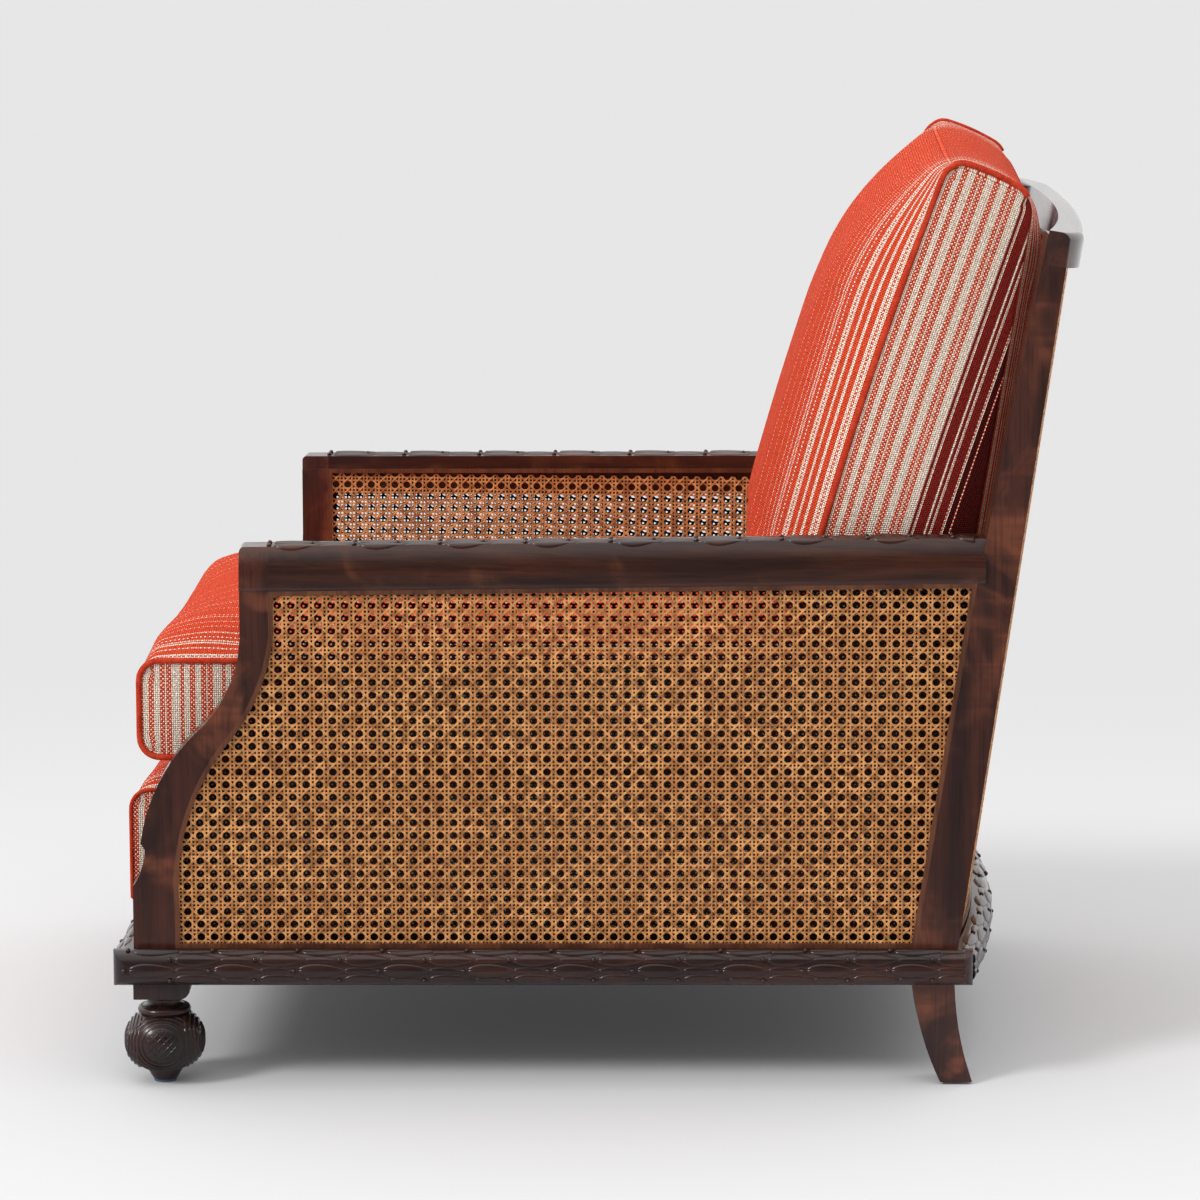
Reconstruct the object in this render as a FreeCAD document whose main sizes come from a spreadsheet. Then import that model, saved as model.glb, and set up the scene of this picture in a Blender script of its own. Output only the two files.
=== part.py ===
import FreeCAD, Part
import Sketcher
import math
import os

# Caned planters chair with carved mouldings, ogee arm posts, a raked bowed back and loose cushions.
# Row frame: +Z up, the chair faces -Y, +X is the sitter's left, origin on the floor at the middle.
# Each side frame is drawn flat: "along" runs rearward from the front post's face, "up" from the floor.

Vector = FreeCAD.Vector
document = FreeCAD.newDocument("planters_chair")
sheet = document.addObject("Spreadsheet::Sheet", "sizes")

DIMENSIONS = {
    # Plan of the whole chair
    "half_spacing": 350,
    "side_splay": 2.1,
    "middle_along": 492.2,
    # Side frames
    "post_thickness": 44,
    "panel_setback": 5,
    "cane_thickness": 2,
    "bead_width": 5,
    "bead_depth": 3,
    # Front posts with their ogee sweep
    "front_foot_depth": 44,
    "cap_setback": 116,
    "cap_length": 31,
    "neck_depth": 30,
    "upper_bend_height": 485,
    "ogee_height": 380,
    "ogee_setback": 68,
    "ogee_depth": 36,
    "lower_bend_height": 262,
    "lower_bend_setback": 9,
    "notch_depth": 4,
    "notch_height": 6,
    "cove_bottom_height": 216,
    "inner_bend_height": 190,
    "sweep_bulge": 7,
    "cove_bulge": 2,
    # Rear posts, raked above the rail and sabre-shaped below it
    "rear_post_along": 823,
    "rear_post_depth": 45,
    "rear_top_along": 955,
    "rear_top_depth": 23,
    "rear_top_height": 905,
    "rear_top_fall": 5,
    "rear_bend_along": 886,
    "rear_bend_height": 536,
    "sabre_start": 125,
    "sabre_kick": 31,
    "sabre_toe_depth": 34,
    "sabre_bulge": 7,
    # Arm rails
    "arm_height": 577,
    "arm_depth": 46,
    "arm_rise": 9,
    "arm_rise_along": 895,
    "arm_inner_depth": 15,
    "arm_inner_lip": 6,
    "arm_overhang": 3,
    "arm_top_draw": 12,
    "arm_inner_inset": 2,
    "cap_round": 5,
    # Base frame and its torus mouldings
    "rail_bottom": 111,
    "rail_height": 38,
    "front_rail_along": 3,
    "rear_rail_lead": 35,
    "moulding_width": 21,
    "moulding_round": 15,
    "rear_rail_bow": 30,
    "block_leg": 70,
    "block_bite": 8,
    "cover_bite": 12,
    "cover_thickness": 1,
    # Front feet
    "foot_block": 60,
    "foot_block_height": 16,
    "block_round": 6,
    "foot_neck_radius": 18,
    "ring_radius": 25,
    "ring_height": 8,
    "ball_radius": 42,
    "ball_centre": 44,
    "toe_top_radius": 20,
    "toe_foot_radius": 13,
    "toe_height": 12,
    "foot_axis_along": 29.5,
    "glide_thickness": 3,
    "glide_radius": 12,
    # Back
    "crest_drop": 32,
    "crest_cover": 4,
    "crest_depth": 27,
    "crest_bow": 25,
    "crest_return": 18,
    "crest_turn": 45,
    "crest_setback": 0.5,
    "crest_rake": 9,
    "crest_round": 8,
    "back_cane_bow": 26,
    "back_cane_inset": 3,
    # Upholstery
    "soft_clearance": 1,
    "deck_welt_height": 308,
    "deck_crown": 22,
    "deck_overhang": 9,
    "deck_back": 810,
    "deck_corner": 14,
    "deck_draw": 3,
    "deck_crown_inset": 70,
    "seat_bottom_welt": 351,
    "seat_top_welt": 447,
    "seat_crown_height": 486,
    "seat_front": 3,
    "seat_back": 822,
    "seat_corner": 14,
    "seat_draw": 4,
    "seat_crown_inset": 110,
    "seat_rear_inset": 12,
    "cushion_gap": 0.4,
    "back_half_width": 290,
    "back_front_along": 698,
    "back_foot_depth": 169,
    "back_top_height": 971,
    "back_top_along": 867,
    "back_top_depth": 67,
    "back_top_fall": 26,
    "back_corner": 22,
    "back_crown": 76,
    "back_rear_crown": 24,
    "back_crown_inset": 140,
    "back_draw": 4,
    # Overrun that carries every cut clear of the faces it opens
    "overrun": 30,
}


class Size:
    """A size known both as a number and as the expression that a property is bound to."""

    def __init__(self, number, text=None):
        self.number = float(number)
        self.text = text or repr(float(number))

    def joined(self, other, sign, number):
        other = other if isinstance(other, Size) else Size(other)
        return Size(number(self.number, other.number), "(%s %s %s)" % (self.text, sign, other.text))

    def __add__(self, other):
        return self.joined(other, "+", lambda a, b: a + b)

    def __sub__(self, other):
        return self.joined(other, "-", lambda a, b: a - b)

    def __mul__(self, other):
        return self.joined(other, "*", lambda a, b: a * b)

    def __truediv__(self, other):
        return self.joined(other, "/", lambda a, b: a / b)

    def __neg__(self):
        return Size(-self.number, "(-%s)" % self.text)

    def __float__(self):
        return self.number


class Sizes:
    """The sheet's sizes by name."""

    def __init__(self):
        for row, (name, value) in enumerate(DIMENSIONS.items(), start=1):
            sheet.set("A%d" % row, name)
            sheet.set("B%d" % row, str(value))
            sheet.setAlias("B%d" % row, name)
        document.recompute()
        for name in DIMENSIONS:
            setattr(self, name, Size(sheet.get(name), "sizes." + name))


D = Sizes()
ZERO = Size(0)
HALF = 0.5

# Shares that shape the sawn and turned outlines
COVE_SHARE = 0.38
FRONT_SWEEP_SHARE = 0.72
FRONT_SWEEP_UP_SHARE = 0.45
REAR_SWEEP_SHARE = 0.32
REAR_SWEEP_UP_SHARE = 0.6
NECK_FRONT_SHARE = 0.7
NECK_REAR_SHARE = 0.62
SLIGHT_SHARE = 0.3
THUMB_SHARE = 0.42
THUMB_WIDEST_SHARE = 0.82
THUMB_TURN_SHARE = 0.93
SABRE_SHARE = 0.4
MOULDING_RUN_SHARE = 0.9
BALL_TOP_SHARE = 0.73
BALL_UP_SHARE = 0.63
BALL_UPPER_SHARE = 0.89
BALL_LOWER_SHARE = 0.9
BALL_DOWN_SHARE = 0.44
RING_SWELL_SHARE = 0.4
NECK_WAIST_SHARE = 0.55
NECK_FLARE_SHARE = 0.6
CREST_TURN_SHARES = (0.47, 0.68)
LEFT, RIGHT = 1, -1
SIDES = ((LEFT, "left"), (RIGHT, "right"))
nodes = []


def bind(item, name, value):
    """Set a property and bind it to the sheet."""
    item.setExpression(name, value.text)


def node(item, label):
    item.Label = label
    nodes.append(item)
    return item


def place(item, x, y, z, turn=None, axis=Vector(0, 0, 1)):
    """Bind an object's Placement, with an optional turn in degrees."""
    item.Placement = FreeCAD.Placement(Vector(x.number, y.number, z.number),
                                       FreeCAD.Rotation(axis, turn.number if turn else 0))
    bind(item, "Placement.Base.x", x)
    bind(item, "Placement.Base.y", y)
    bind(item, "Placement.Base.z", z)
    if turn:
        bind(item, "Placement.Rotation.Angle", turn)


def place_side(item, side):
    """Stand a part drawn in the side frame's own axes on its side of the chair."""
    place(item, D.half_spacing * side, -D.middle_along, ZERO, D.side_splay * side)


def in_side(point, side):
    """A point of the side frame (outward, along, up) in the chair's axes."""
    turn = math.radians(D.side_splay.number) * side
    outward, along, up = (float(value) for value in point)
    x = D.half_spacing.number * side + outward * side * math.cos(turn) - along * math.sin(turn)
    y = -D.middle_along.number + outward * side * math.sin(turn) + along * math.cos(turn)
    return Vector(x, y, up)


def new_body(label):
    body = document.addObject("PartDesign::Body", "body_" + label)
    return node(body, label)


def origin_plane(body, role):
    return [item for item in body.Origin.OriginFeatures if item.Role == role][0]


def new_sketch(body, name, role, shift=None):
    """A sketch on one of the body's own origin planes, moved out along its normal by shift."""
    sketch = body.newObject("Sketcher::SketchObject", name)
    sketch.AttachmentSupport = (origin_plane(body, role), "")
    sketch.MapMode = "FlatFace"
    if shift:
        bind(sketch, "AttachmentOffset.Base.z", shift)
    return sketch


def pin(sketch, geometry, point, x, y):
    """Tie one point of a sketch to its two bound coordinates."""
    for kind, value in (("DistanceX", x), ("DistanceY", y)):
        index = sketch.addConstraint(Sketcher.Constraint(kind, -1, 1, geometry, point, value.number))
        title = "%s_%d_%d" % (kind.lower(), geometry, point)
        sketch.renameConstraint(index, title)
        if "sizes." in value.text:
            bind(sketch, "Constraints." + title, value)


def outline(sketch, corners):
    """Draw a closed outline: (x, y) starts a line, (x, y, via_x, via_y) starts an arc through via."""
    def vector(pair):
        return Vector(pair[0].number, pair[1].number, 0)

    edges = []
    for corner, following in zip(corners, corners[1:] + corners[:1]):
        if len(corner) > 2:
            edges.append(Part.Arc(vector(corner), vector(corner[2:]), vector(following)))
        else:
            edges.append(Part.LineSegment(vector(corner), vector(following)))
    sketch.addGeometry(edges, False)
    starts = []
    for index, corner in enumerate(corners):
        near = sketch.getPoint(index, 1).distanceToPoint(vector(corner))
        far = sketch.getPoint(index, 2).distanceToPoint(vector(corner))
        starts.append(1 if near < far else 2)
    for index, corner in enumerate(corners):
        before = index - 1 if index else len(corners) - 1
        meeting = (before, 3 - starts[before], index, starts[index])
        sketch.addConstraint(Sketcher.Constraint("Coincident", *meeting))
    for index, corner in enumerate(corners):
        pin(sketch, index, starts[index], corner[0], corner[1])
        if len(corner) > 2:
            via = sketch.addGeometry(Part.Point(vector(corner[2:])), True)
            sketch.addConstraint(Sketcher.Constraint("PointOnObject", via, 1, index))
            pin(sketch, via, 1, corner[2], corner[3])
    return sketch


def middle(a, b, share=HALF):
    """A size part of the way from a to b."""
    return a + (b - a) * share


def pad_across(body, sketch, name, thickness):
    """Pad a side outline equally to both sides of the frame's centre plane."""
    pad = body.newObject("PartDesign::Pad", name)
    pad.Profile = sketch
    bind(pad, "Length", thickness)
    pad.SideType = "Symmetric"
    sketch.Visibility = False
    return pad


def round_edges(body, base, names, radius, label):
    fillet = body.newObject("PartDesign::Fillet", label)
    fillet.Base = (base, names)
    bind(fillet, "Radius", radius)
    return fillet


def edges_where(feature, test):
    """Names of the feature's edges whose ends and middle all pass the test."""
    document.recompute()
    found = []
    for index, edge in enumerate(feature.Shape.Edges, start=1):
        first, last = edge.FirstParameter, edge.LastParameter
        samples = [edge.valueAt(first), edge.valueAt(last), edge.valueAt((first + last) * HALF)]
        if all(test(sample) for sample in samples):
            found.append("Edge%d" % index)
    return found


# Front posts

def front_post_outline(sketch):
    """The ogee-sawn post, up from behind the moulding to the block that ends the arm."""
    neck_front = D.cap_setback
    neck_rear = D.cap_setback + D.neck_depth
    neck_top = D.arm_height - D.arm_inner_depth
    front_middle = middle(D.ogee_setback, D.lower_bend_setback, FRONT_SWEEP_SHARE)
    corners = [
        (ZERO, D.rail_bottom),
        (D.front_foot_depth, D.rail_bottom),
        (D.front_foot_depth, D.inner_bend_height,
         middle(D.front_foot_depth, D.ogee_setback + D.ogee_depth, REAR_SWEEP_SHARE)
         - D.sweep_bulge * HALF,
         middle(D.inner_bend_height, D.ogee_height, REAR_SWEEP_UP_SHARE)),
        (D.ogee_setback + D.ogee_depth, D.ogee_height,
         middle(D.ogee_setback + D.ogee_depth, neck_rear, NECK_REAR_SHARE) + D.sweep_bulge * HALF,
         middle(D.ogee_height, D.upper_bend_height)),
        (neck_rear, D.upper_bend_height),
        (neck_rear, neck_top),
        (neck_front, neck_top),
        (neck_front, D.upper_bend_height,
         middle(D.ogee_setback, neck_front, NECK_FRONT_SHARE) + D.sweep_bulge * HALF,
         middle(D.ogee_height, D.upper_bend_height)),
        (D.ogee_setback, D.ogee_height, front_middle - D.sweep_bulge * SLIGHT_SHARE,
         middle(D.lower_bend_height, D.ogee_height, FRONT_SWEEP_UP_SHARE)),
        (D.lower_bend_setback, D.lower_bend_height),
        (D.lower_bend_setback + D.notch_depth, D.lower_bend_height - D.notch_height,
         middle(D.lower_bend_setback + D.notch_depth, ZERO, COVE_SHARE) + D.cove_bulge,
         middle(D.lower_bend_height - D.notch_height, D.cove_bottom_height)),
        (ZERO, D.cove_bottom_height),
    ]
    return outline(sketch, corners)


def arm_section(sketch, side, rise, front_edge=False):
    """The arm's section: a thumb-moulded outer side and a shallow lip on the inner side."""
    top = D.arm_height + rise
    bottom = D.arm_height - D.arm_depth + rise
    half = D.post_thickness * HALF
    outer = half + D.arm_overhang
    inner = -(half - D.arm_inner_inset)
    step = inner + D.arm_inner_lip
    lip = top - D.arm_inner_depth
    corners = [
        (inner * side, lip),
        (inner * side, top),
        ((outer - D.arm_top_draw) * side, top,
         (outer - D.arm_overhang * HALF) * side, middle(top, bottom, THUMB_SHARE)),
        (outer * side, middle(top, bottom, THUMB_WIDEST_SHARE),
         (outer - D.arm_overhang * HALF * HALF) * side, middle(top, bottom, THUMB_TURN_SHARE)),
        (half * side, bottom),
        (step * side, bottom),
        (step * side, lip),
    ]
    return outline(sketch, corners)


def arm_loft(body, side, name, start, end, rise_start, rise_end):
    """An arm length as a loft between two upright sections."""
    first = arm_section(new_sketch(body, name + "_front", "XZ_Plane", -start), side, rise_start)
    second = arm_section(new_sketch(body, name + "_rear", "XZ_Plane", -end), side, rise_end)
    loft = body.newObject("PartDesign::AdditiveLoft", name)
    loft.Profile = first
    loft.Sections = [second]
    loft.Ruled = True
    first.Visibility = second.Visibility = False
    return loft


def rise_at(along):
    """How far the arm has climbed at a place along it."""
    return D.arm_rise * (along - D.cap_setback) / (D.arm_rise_along - D.cap_setback)


def make_front_post(side, word):
    body = new_body(word + "_front_post")
    sketch = front_post_outline(new_sketch(body, "post_outline", "YZ_Plane"))
    pad_across(body, sketch, "post", D.post_thickness)
    cap_end = D.cap_setback + D.cap_length
    cap = arm_loft(body, side, "cap", D.cap_setback, cap_end, ZERO, rise_at(cap_end))
    cap_front = edges_where(cap, lambda p: abs(p.y - D.cap_setback.number) < D.notch_depth.number * HALF
                            and abs(p.z - D.arm_height.number) < D.cove_bulge.number * HALF)
    round_edges(body, cap, cap_front, D.cap_round, "cap_nosing")
    place_side(body, side)
    return body


# Rear posts

def make_rear_post(side, word):
    body = new_body(word + "_rear_post")
    knee = D.rear_post_along + D.rear_post_depth
    toe = D.rear_post_along + D.sabre_kick
    floor = D.glide_thickness
    sketch = new_sketch(body, "post_outline", "YZ_Plane")
    outline(sketch, [
        (toe, floor, middle(D.rear_post_along, toe, SABRE_SHARE) - D.sabre_bulge * HALF,
         middle(floor, D.sabre_start)),
        (D.rear_post_along, D.sabre_start),
        (D.rear_bend_along, D.rear_bend_height),
        (D.rear_top_along, D.rear_top_height),
        (D.rear_top_along + D.rear_top_depth, D.rear_top_height - D.rear_top_fall),
        (knee, D.sabre_start, middle(knee, toe + D.sabre_toe_depth, SABRE_SHARE) - D.sabre_bulge * HALF,
         middle(D.sabre_start, floor)),
        (toe + D.sabre_toe_depth, floor),
    ])
    pad_across(body, sketch, "post", D.post_thickness)
    place_side(body, side)
    return body


def cut_from(base, tools, label):
    """Fit a piece against its neighbours: the node is the base less the tools."""
    current = base
    for index, tool in enumerate(tools):
        cut = document.addObject("Part::Cut", "%s_fit_%d" % (label, index))
        cut.Base = current
        cut.Tool = tool
        current = cut
    return current


# Arm rails

def make_arm_rail(side, word, rear_post):
    body = document.addObject("PartDesign::Body", "body_%s_arm" % word)
    start = D.cap_setback + D.cap_length
    arm_loft(body, side, "arm", start, D.arm_rise_along, rise_at(start), D.arm_rise)
    place_side(body, side)
    return node(cut_from(body, [rear_post], word + "_arm"), word + "_arm_rail")


# Base frame

SINE = Size(math.sin(math.radians(D.side_splay.number)), "sin(sizes.side_splay * 1 deg)")


def plate(body, name, corners, bottom, height):
    """A board drawn in plan and padded up from its underside."""
    sketch = outline(new_sketch(body, name + "_outline", "XY_Plane", bottom), corners)
    pad = body.newObject("PartDesign::Pad", name)
    pad.Profile = sketch
    bind(pad, "Length", height)
    sketch.Visibility = False
    return pad


def rectangle(left, right, near, far):
    return [(left, near), (right, near), (right, far), (left, far)]


def make_side_rail(side, word):
    """The rail between the posts of one side, under the cane."""
    body = document.addObject("PartDesign::Body", "body_%s_rail" % word)
    half = D.post_thickness * HALF
    far = D.rear_post_along + D.rear_post_depth * HALF
    plate(body, "rail", rectangle(-half, half, D.front_foot_depth * HALF, far),
          D.rail_bottom, D.rail_height)
    place_side(body, side)
    posts = [front_posts[word], rear_posts[word]]
    return node(cut_from(body, posts, word + "_rail"), word + "_seat_rail")


def place_middle(item):
    """Stand a part drawn in the chair's own plan on the middle plane."""
    place(item, ZERO, -D.middle_along, ZERO)


def inner_half(along):
    """Half the clear width between the side frames' centre planes at a place along them."""
    return D.half_spacing - SINE * along


def make_front_rail():
    body = document.addObject("PartDesign::Body", "body_front_rail")
    half = inner_half(D.front_foot_depth)
    plate(body, "rail", rectangle(-half, half, D.front_rail_along, D.front_foot_depth),
          D.rail_bottom, D.rail_height)
    place_middle(body)
    tools = list(front_posts.values()) + list(side_rails.values())
    return node(cut_from(body, tools, "front_rail"), "front_seat_rail")


def make_rear_rail():
    """The rear rail, sawn to the bow that the caned back follows."""
    body = document.addObject("PartDesign::Body", "body_rear_rail")
    back = D.rear_post_along + D.rear_post_depth
    half = inner_half(back)
    front = D.rear_post_along - D.rear_rail_lead
    plate(body, "rail", [(-half, front), (half, front), (half, back, ZERO, back + D.rear_rail_bow),
                         (-half, back)], D.rail_bottom, D.rail_height)
    place_middle(body)
    tools = list(rear_posts.values()) + list(side_rails.values())
    return node(cut_from(body, tools, "rear_rail"), "rear_seat_rail")


def round_moulding(body, pad, keep_back):
    """Work a plain strip to a torus: every edge that is off its back face is rounded."""
    names = edges_where(pad, lambda p: not keep_back(p))
    return round_edges(body, pad, names, D.moulding_round, "torus")


def make_side_moulding(side, word):
    body = new_body(word + "_base_moulding")
    inner = D.post_thickness * HALF
    outer = inner + D.moulding_width
    near = -D.moulding_width
    far = D.rear_post_along + D.rear_post_depth + D.moulding_width * MOULDING_RUN_SHARE
    low, high = (inner, outer) if side == LEFT else (-outer, -inner)
    pad = plate(body, "strip", rectangle(low, high, near, far), D.rail_bottom, D.rail_height)
    back_face = inner.number * side
    round_moulding(body, pad, lambda p: abs(p.x - back_face) < D.moulding_round.number * HALF)
    place_side(body, side)
    return body


def make_front_moulding():
    body = document.addObject("PartDesign::Body", "body_front_moulding")
    half = D.half_spacing + D.post_thickness * HALF
    plate(body, "strip", rectangle(-half, half, -D.moulding_width, D.front_rail_along),
          D.rail_bottom, D.rail_height)
    front = -D.moulding_width.number
    pad = body.Tip
    names = edges_where(pad, lambda p: abs(p.y - front) < D.cove_bulge.number)
    long_edges = [name for name in names if pad.Shape.getElement(name).Length > half.number]
    round_edges(body, pad, long_edges, D.moulding_round, "torus")
    place_middle(body)
    tools = list(mouldings.values()) + list(front_posts.values())
    return node(cut_from(body, tools, "front_moulding"), "front_base_moulding")


def make_rear_moulding():
    body = document.addObject("PartDesign::Body", "body_rear_moulding")
    front = D.rear_post_along + D.rear_post_depth
    back = front + D.moulding_width
    half = inner_half(front) + D.post_thickness * HALF
    pad = plate(body, "strip", [(-half, front, ZERO, front + D.rear_rail_bow), (half, front),
                                (half, back, ZERO, back + D.rear_rail_bow), (-half, back)],
                D.rail_bottom, D.rail_height)
    names = edges_where(pad, lambda p: p.y > back.number - D.cove_bulge.number)
    long_edges = [name for name in names if pad.Shape.getElement(name).Length > half.number]
    round_edges(body, pad, long_edges, D.moulding_round, "torus")
    place_middle(body)
    tools = list(mouldings.values()) + list(rear_posts.values()) + [rails["rear"]]
    return node(cut_from(body, tools, "rear_moulding"), "rear_base_moulding")


def make_corner_block(side, word, end):
    """A glue block across the inside of a corner of the seat frame."""
    body = document.addObject("PartDesign::Body", "body_%s_%s_block" % (word, end))
    wall = -(D.post_thickness * HALF) * side
    if end == "front":
        face, reach = D.front_foot_depth, D.block_leg
        bite = -D.block_bite
    else:
        face, reach = D.rear_post_along - D.rear_rail_lead, -D.block_leg
        bite = D.block_bite
    corners = [(wall + D.block_bite * side, face + bite), (wall + D.block_bite * side, face + reach),
               (wall - D.block_leg * side, face + bite)]
    plate(body, "block", corners, D.rail_bottom, D.rail_height)
    place_side(body, side)
    tools = [rails[end], side_rails[word], (front_posts if end == "front" else rear_posts)[word]]
    return node(cut_from(body, tools, "%s_%s_block" % (word, end)), "%s_%s_corner_block" % (word, end))


def make_dust_cover():
    """The cloth stretched under the frame, cut round the feet and the sabre legs."""
    body = new_body("dust_cover")
    clear = D.foot_block * HALF + D.soft_clearance
    rail_hold = D.post_thickness * HALF - D.cover_bite
    leg_clear = D.post_thickness * HALF + D.soft_clearance
    front = D.front_rail_along + D.cover_bite
    foot_end = D.foot_axis_along + D.foot_block * HALF + D.soft_clearance * 4
    leg_start = D.rear_post_along - D.soft_clearance * 4
    back = D.rear_post_along + D.cover_bite
    right = [
        (inner_half(front) - clear, front),
        (inner_half(foot_end) - clear, foot_end),
        (inner_half(foot_end) - rail_hold, foot_end),
        (inner_half(leg_start) - rail_hold, leg_start),
        (inner_half(leg_start) - leg_clear, leg_start),
        (inner_half(back) - leg_clear, back),
    ]
    left = [(-x, y) for x, y in reversed(right)]
    plate(body, "cover", right + left, D.rail_bottom - D.cover_thickness, D.cover_thickness)
    place_middle(body)
    return body


# Front feet

def make_front_foot(side, word):
    """A square block over a turned neck, ring, ball and toe."""
    body = new_body(word + "_front_foot")
    half = D.foot_block * HALF
    axis = D.foot_axis_along
    block_bottom = D.rail_bottom - D.foot_block_height
    block = plate(body, "block", rectangle(-half, half, axis - half, axis + half),
                  block_bottom, D.foot_block_height)
    rear_low = edges_where(block, lambda p: abs(p.z - block_bottom.number) < D.cap_round.number * HALF
                           and p.y > (axis + half).number - D.cap_round.number * HALF)
    round_edges(body, block, rear_low, D.block_round * 2, "lamb_tongue")
    document.recompute()
    toe_top = D.toe_height + D.glide_thickness
    ball_top = D.ball_centre + D.ball_radius * BALL_TOP_SHARE
    ring_top = ball_top + D.ring_height
    turning = new_sketch(body, "turned_outline", "XZ_Plane", -axis)
    outline(turning, [
        (ZERO, D.glide_thickness),
        (D.toe_foot_radius, D.glide_thickness),
        (D.toe_top_radius, toe_top, D.ball_radius * BALL_LOWER_SHARE,
         middle(toe_top, D.ball_centre, BALL_DOWN_SHARE)),
        (D.ball_radius, D.ball_centre, D.ball_radius * BALL_UPPER_SHARE,
         middle(D.ball_centre, ball_top, BALL_UP_SHARE)),
        (D.ring_radius, ball_top, D.ring_radius + D.ring_height * RING_SWELL_SHARE,
         middle(ball_top, ring_top)),
        (D.ring_radius, ring_top, D.foot_neck_radius, middle(ring_top, block_bottom, NECK_WAIST_SHARE)),
        (D.foot_neck_radius + D.ring_height * NECK_FLARE_SHARE, block_bottom),
        (D.foot_neck_radius, block_bottom + D.cap_round),
        (ZERO, block_bottom + D.cap_round),
    ])
    turned = body.newObject("PartDesign::Revolution", "turned")
    turned.Profile = turning
    turned.ReferenceAxis = (turning, ["V_Axis"])
    turned.Angle = 360
    turning.Visibility = False
    place_side(body, side)
    return body


def make_glide(side, word, end, along):
    body = new_body("%s_%s_glide" % (word, end))
    sketch = new_sketch(body, "disc_outline", "XY_Plane")
    circle = Part.Circle(Vector(0, along.number, 0), Vector(0, 0, 1), D.glide_radius.number)
    sketch.addGeometry(circle, False)
    pin(sketch, 0, 3, ZERO, along)
    index = sketch.addConstraint(Sketcher.Constraint("Radius", 0, D.glide_radius.number))
    sketch.renameConstraint(index, "disc_radius")
    bind(sketch, "Constraints.disc_radius", D.glide_radius)
    pad = body.newObject("PartDesign::Pad", "disc")
    pad.Profile = sketch
    bind(pad, "Length", D.glide_thickness)
    sketch.Visibility = False
    place_side(body, side)
    return body


# Crest rail

def make_crest_rail():
    """The bowed top rail, notched over the heads of the raked posts, its back turned in to meet them."""
    body = document.addObject("PartDesign::Body", "body_crest")
    half = inner_half(D.rear_top_along) + D.post_thickness * HALF
    front, post_back = D.crest_setback, D.rear_top_depth
    end_back, turned = post_back + D.crest_return, half - D.crest_turn
    side_way, back_way = CREST_TURN_SHARES
    turn_side = half - D.crest_turn * side_way
    turn_back = post_back + D.crest_return * back_way
    pad = plate(body, "rail", [
        (-half, front, ZERO, front + D.crest_bow),
        (half, front),
        (half, post_back, turn_side, turn_back),
        (turned, end_back, ZERO, front + D.crest_bow + D.crest_depth),
        (-turned, end_back, -turn_side, turn_back),
        (-half, post_back),
    ], -D.crest_drop, D.crest_drop + D.crest_cover)
    limit = (post_back - D.cove_bulge).number
    names = edges_where(pad, lambda p: abs(p.z - D.crest_cover.number) < D.cove_bulge.number
                        and p.y > limit)
    round_edges(body, pad, names, D.crest_round, "rounded_back")
    place(body, ZERO, D.rear_top_along - D.middle_along, D.rear_top_height,
          -D.crest_rake, Vector(1, 0, 0))
    return node(cut_from(body, list(rear_posts.values()), "crest"), "crest_rail")


# Cane panels and the beads that hold them

def in_frame_of(item, others):
    """Neighbours' shapes seen from a part's own axes."""
    inverse = item.Placement.inverse().toMatrix()
    return [other.Shape.transformed(inverse, True) for other in others]


def largest(shape):
    return max(shape.Solids, key=lambda solid: solid.Volume)


def shape_node(label, make_shape, set_place):
    """A Part::Feature whose Shape comes from Part's own functions in the part's own axes."""
    item = document.addObject("Part::Feature", label)
    set_place(item)
    placement = item.Placement
    item.Shape = make_shape(item)
    item.Placement = placement
    return node(item, label)


def side_layers(side, layer):
    """Outward places of one side's cane sheet: its far face from the middle and its own face."""
    depth = D.post_thickness.number * HALF - D.panel_setback.number
    direction = side if layer == "outer" else -side
    return depth * direction, direction


def sheet_between(start, thickness, direction):
    """A thin upright board in a side frame, longer and taller than its opening."""
    low = (D.rail_bottom + D.rail_height * HALF).number
    width = (D.arm_rise_along + D.overrun).number
    height = D.arm_height.number - low
    left = min(start, start + thickness * direction)
    return Part.makeBox(thickness, width, height, Vector(left, 0, low))


def side_opening(item, word):
    frame = [front_posts[word], rear_posts[word], arms[word], side_rails[word]]
    return in_frame_of(item, frame)


def make_side_cane(side, word, layer):
    start, direction = side_layers(side, layer)

    def make_shape(item):
        board = sheet_between(start, D.cane_thickness.number, direction)
        return largest(board.cut(side_opening(item, word)))

    return shape_node("%s_%s_cane" % (word, layer), make_shape, lambda item: place_side(item, side))


def make_side_bead(side, word, layer):
    """The loop of bead round one side panel, as deep as its named depth."""
    start, direction = side_layers(side, layer)

    def make_shape(item):
        face_at = start + D.cane_thickness.number * direction
        board = sheet_between(face_at, D.bead_depth.number, direction)
        field = largest(board.cut(side_opening(item, word)))
        near_face = D.bead_depth.number * HALF * HALF
        flat = [f for f in field.Faces if abs(f.CenterOfMass.x - face_at) < near_face]
        face = max(flat, key=lambda f: f.Area)
        window = face.makeOffset2D(-D.bead_width.number)
        ring = face.cut(window)
        return largest(ring.extrude(Vector(D.bead_depth.number * direction, 0, 0)))

    return shape_node("%s_%s_bead" % (word, layer), make_shape, lambda item: place_side(item, side))


def back_line(layer, height):
    """Where a back panel's own face runs at the posts, at a height."""
    low, high = D.sabre_start.number, D.rear_top_height.number
    share = (height - low) / (high - low)
    inset = D.back_cane_inset.number
    if layer == "inner":
        return middle(D.rear_post_along.number + inset, D.rear_top_along.number + inset, share)
    bottom = D.rear_post_along.number + D.rear_post_depth.number
    top = D.rear_top_along.number + D.rear_top_depth.number
    return middle(bottom, top, share) - inset


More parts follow.
